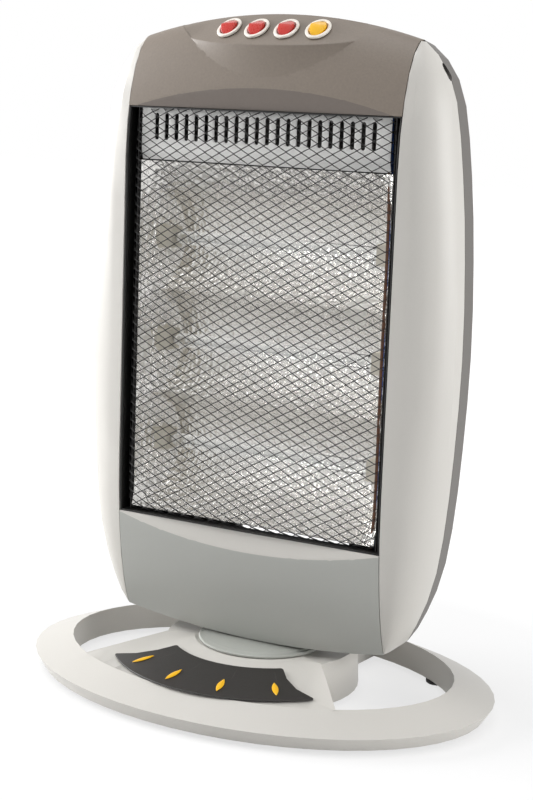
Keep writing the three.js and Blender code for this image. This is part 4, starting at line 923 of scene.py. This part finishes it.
def reflector_point(point):
    depth, height = reflector_section(point.z / MM / 100)
    x = point.x / MM
    wing = max(0.0, (abs(x) - 84) / 15)
    depth = depth + (min(-20.5, depth) - depth) * wing
    return Vector((point.x, depth * MM, height * MM))


place_vertices(sheet, reflector_point)
modified(sheet, "SOLIDIFY", thickness=0.6 * MM, offset=-1)
stands_for(smooth(sheet, 40), "reflector")

# %% [markdown]
# ## The vent plate
# Warm air leaves through a row of round-ended slots in a white plate above the reflector. The
# plate is a block with its lower edge folded back. Each slot is a bevelled block, and the whole
# row of blocks is taken out of the plate at once.

# %% Slotted vent plate
PLATE_DEPTH, SLOTS, SLOT_PITCH = -22.5, 22, 8.1

clear_selection()
bpy.ops.mesh.primitive_cube_add(size=1, location=(0, PLATE_DEPTH * MM, 0.40045))
bpy.context.object.scale = (0.195, 0.001, 0.0299)
plate = named("vent_plate_pressing")
pick(plate, "faces", lambda face: face.normal.z < -0.9)
bpy.ops.mesh.extrude_region_move(TRANSFORM_OT_translate={"value": (0, 0.002, -0.0065)})
object_mode()
slots = []
for index in range(SLOTS):
    clear_selection()
    across = (index - (SLOTS - 1) / 2) * SLOT_PITCH
    bpy.ops.mesh.primitive_cube_add(size=1, location=(across * MM, PLATE_DEPTH * MM, 0.40225))
    bpy.context.object.scale = (0.0032, 0.004, 0.0187)
    slot = named(f"slot_{index}")
    pick(slot, "edges", lambda edge: abs((edge.verts[0].co - edge.verts[1].co).normalized().y) > 0.9)
    bpy.ops.mesh.bevel(offset=1.58 * MM, segments=6)
    object_mode()
    slots.append(slot)
cutter = joined(*slots)
modified(plate, "BOOLEAN", operation="DIFFERENCE", object=cutter, solver="EXACT")
bpy.data.objects.remove(cutter)
modified(plate, "BEVEL", width=0.25 * MM, segments=2, limit_method="ANGLE", angle_limit=math.radians(40))
stands_for(smooth(plate, 40), "vent_plate")

# %% [markdown]
# ## The lamps
# Each lamp is a quartz tube that is pinched at both ends, and a fine tungsten coil runs along its
# middle. The tube is a cylinder whose end faces are extruded and drawn in. The coil is a small
# ring that the Screw modifier winds along the tube.

# %% Quartz tubes and their filaments
LAMP_HEIGHTS, LAMP_DEPTH = (172.5, 247.5, 322.5), 3


def lamp_tube(name, height):
    clear_selection()
    bpy.ops.mesh.primitive_cylinder_add(vertices=32, radius=5 * MM, depth=0.154, end_fill_type="NGON",
                                        location=(0, LAMP_DEPTH * MM, height * MM),
                                        rotation=(0, math.pi / 2, 0))
    tube = named(name)
    for reach, width in ((0.0035, 0.55), (0.0045, 0.75)):
        for side in (1, -1):
            tips = max(side * v.co.x for v in tube.data.vertices)
            pick(tube, "faces", lambda f: side * f.calc_center_median().x > tips - 1e-6)
            bpy.ops.mesh.extrude_region_move(TRANSFORM_OT_translate={"value": (side * reach, 0, 0)})
            bpy.ops.transform.resize(value=(1, width, width))
            object_mode()
    return smooth(modified(tube, "BEVEL", width=0.4 * MM, segments=2, limit_method="ANGLE"), 50)


def filament(name, height):
    """A coil of fine wire: a small ring of six points beside the lamp's axis, wound along it."""
    clear_selection()
    bpy.ops.mesh.primitive_circle_add(vertices=6, radius=0.22 * MM, location=(-0.072, 0.0013, 0),
                                      rotation=(math.pi / 2, 0, math.pi / 2))
    coil = named(name)
    modified(coil, "SCREW", axis="X", angle=math.tau, screw_offset=1.2 * MM, iterations=120, steps=10,
             render_steps=10, use_merge_vertices=True)
    coil.data.transform(Matrix.Translation((0, LAMP_DEPTH * MM, height * MM)))
    return smooth(coil, 60)


for index, height in enumerate(LAMP_HEIGHTS, 1):
    stands_for(lamp_tube(f"quartz_lamp_{index}", height), f"halogen_tube_{index}")
    put_on(filament(f"filament_{index}", height), "head", "zinc_steel")

# %% [markdown]
# ## The base's inset and its markers
# A dark plate with rounded corners lies on the front deck. Four leaf-shaped lenses sit on it and
# point to the turntable. A leaf is a small grid drawn to a point at both ends, domed on top.

# %% Inset and markers
inset = soft_copy("base_inset", "dark_inset_plate")


def grooved():
    """Black plastic with four faint lighter lines from the leaves towards the turntable: painted highlights where
    the grooves catch the light.
    """
    board = Board("black_plastic_painted_groove_highlights")
    place = board.place()
    x = board.add("ShaderNodeSeparateXYZ", {}, {"Vector": place}, out="X")
    y = board.add("ShaderNodeSeparateXYZ", {}, {"Vector": place}, out="Y") - PIVOT * MM
    radius = (x * x + y * y).root()
    within = (1 - (radius - 0.078).magnitude() * 105).clamped()
    painted_groove_highlights = 0.0
    for angle in (-31, -8, 14.5, 36):
        turn = math.radians(angle)
        across = (x * math.cos(turn) + y * math.sin(turn)).magnitude()
        painted_groove_highlights = painted_groove_highlights + (1 - across * 2400).clamped()
    grain = board.noise(0.0012, 3.0)
    # Each line lightens the tone. This is a painted highlight along a groove, which has no relief of its own.
    tone = 1 + (grain - 0.5) * 0.14 + painted_groove_highlights * within * 1.6
    relief = board.bump(grain, 0.5, 0.00012)
    shade = board.surface(board.tint(linear(36, 33, 31), tone), 0.5 + (grain - 0.5) * 0.1, relief)
    return board.finish(shade)


def corner(edge):
    a, b = (vertex.co for vertex in edge.verts)
    upright = abs((a - b).normalized().z) > 0.9
    return upright and len(edge.link_faces) == 2 and edge.calc_face_angle() > math.radians(40)


print("inset corners rounded:", pick(inset, "edges", corner))
bpy.ops.mesh.bevel(offset=2.2 * MM, segments=5)
object_mode()
modified(inset, "BEVEL", width=0.3 * MM, segments=2, limit_method="ANGLE", angle_limit=math.radians(50))
put_on(smooth(inset, 35), "base", "dark_plastic", "base_inset", finish=grooved())


LEAF_HALF, LEAF_REACH, LEAF_RISE = 2.25, 8.5, 0.55
DECK_SLOPE = 0.168


def leaf(name, solid):
    corners = [solid.matrix_world @ vertex.co for vertex in solid.data.vertices]
    middle = sum(corners, Vector()) / len(corners)
    clear_selection()
    bpy.ops.mesh.primitive_grid_add(x_subdivisions=8, y_subdivisions=20, size=2, location=(0, 0, 0))
    piece = named(name)

    def domed(point):
        width = LEAF_HALF * math.cos(math.pi / 2 * point.y) ** 0.9 if abs(point.y) < 0.999 else 0
        crown = (1 - point.x ** 2) * (1 - point.y ** 2) ** 0.5
        return Vector((point.x * width, point.y * LEAF_REACH, -0.1 + LEAF_RISE * crown)) * MM

    place_vertices(piece, domed)
    pick(piece, "faces", lambda face: True)
    bpy.ops.mesh.remove_doubles(threshold=0.00001)
    bpy.ops.mesh.select_all(action="SELECT")
    bpy.ops.mesh.extrude_region_move(TRANSFORM_OT_translate={"value": (0, 0, 1)})
    object_mode()
    for vertex in piece.data.vertices:
        if vertex.co.z > 0.5:
            vertex.co.z = -0.4 * MM
    pick(piece, "faces", lambda face: True)
    bpy.ops.mesh.normals_make_consistent(inside=False)
    object_mode()
    turn = math.atan2(middle.x, -(middle.y - PIVOT * MM))
    lean = Matrix.Rotation(turn, 4, "Z") @ Matrix.Rotation(math.atan(DECK_SLOPE), 4, "X")
    piece.data.transform(Matrix.Translation(middle) @ lean)
    return smooth(piece, 50)


for number in (1, 2, 3, 4):
    stands_for(leaf(f"leaf_marker_{number}", NODES[f"base_marker_{number}"]), f"base_marker_{number}")
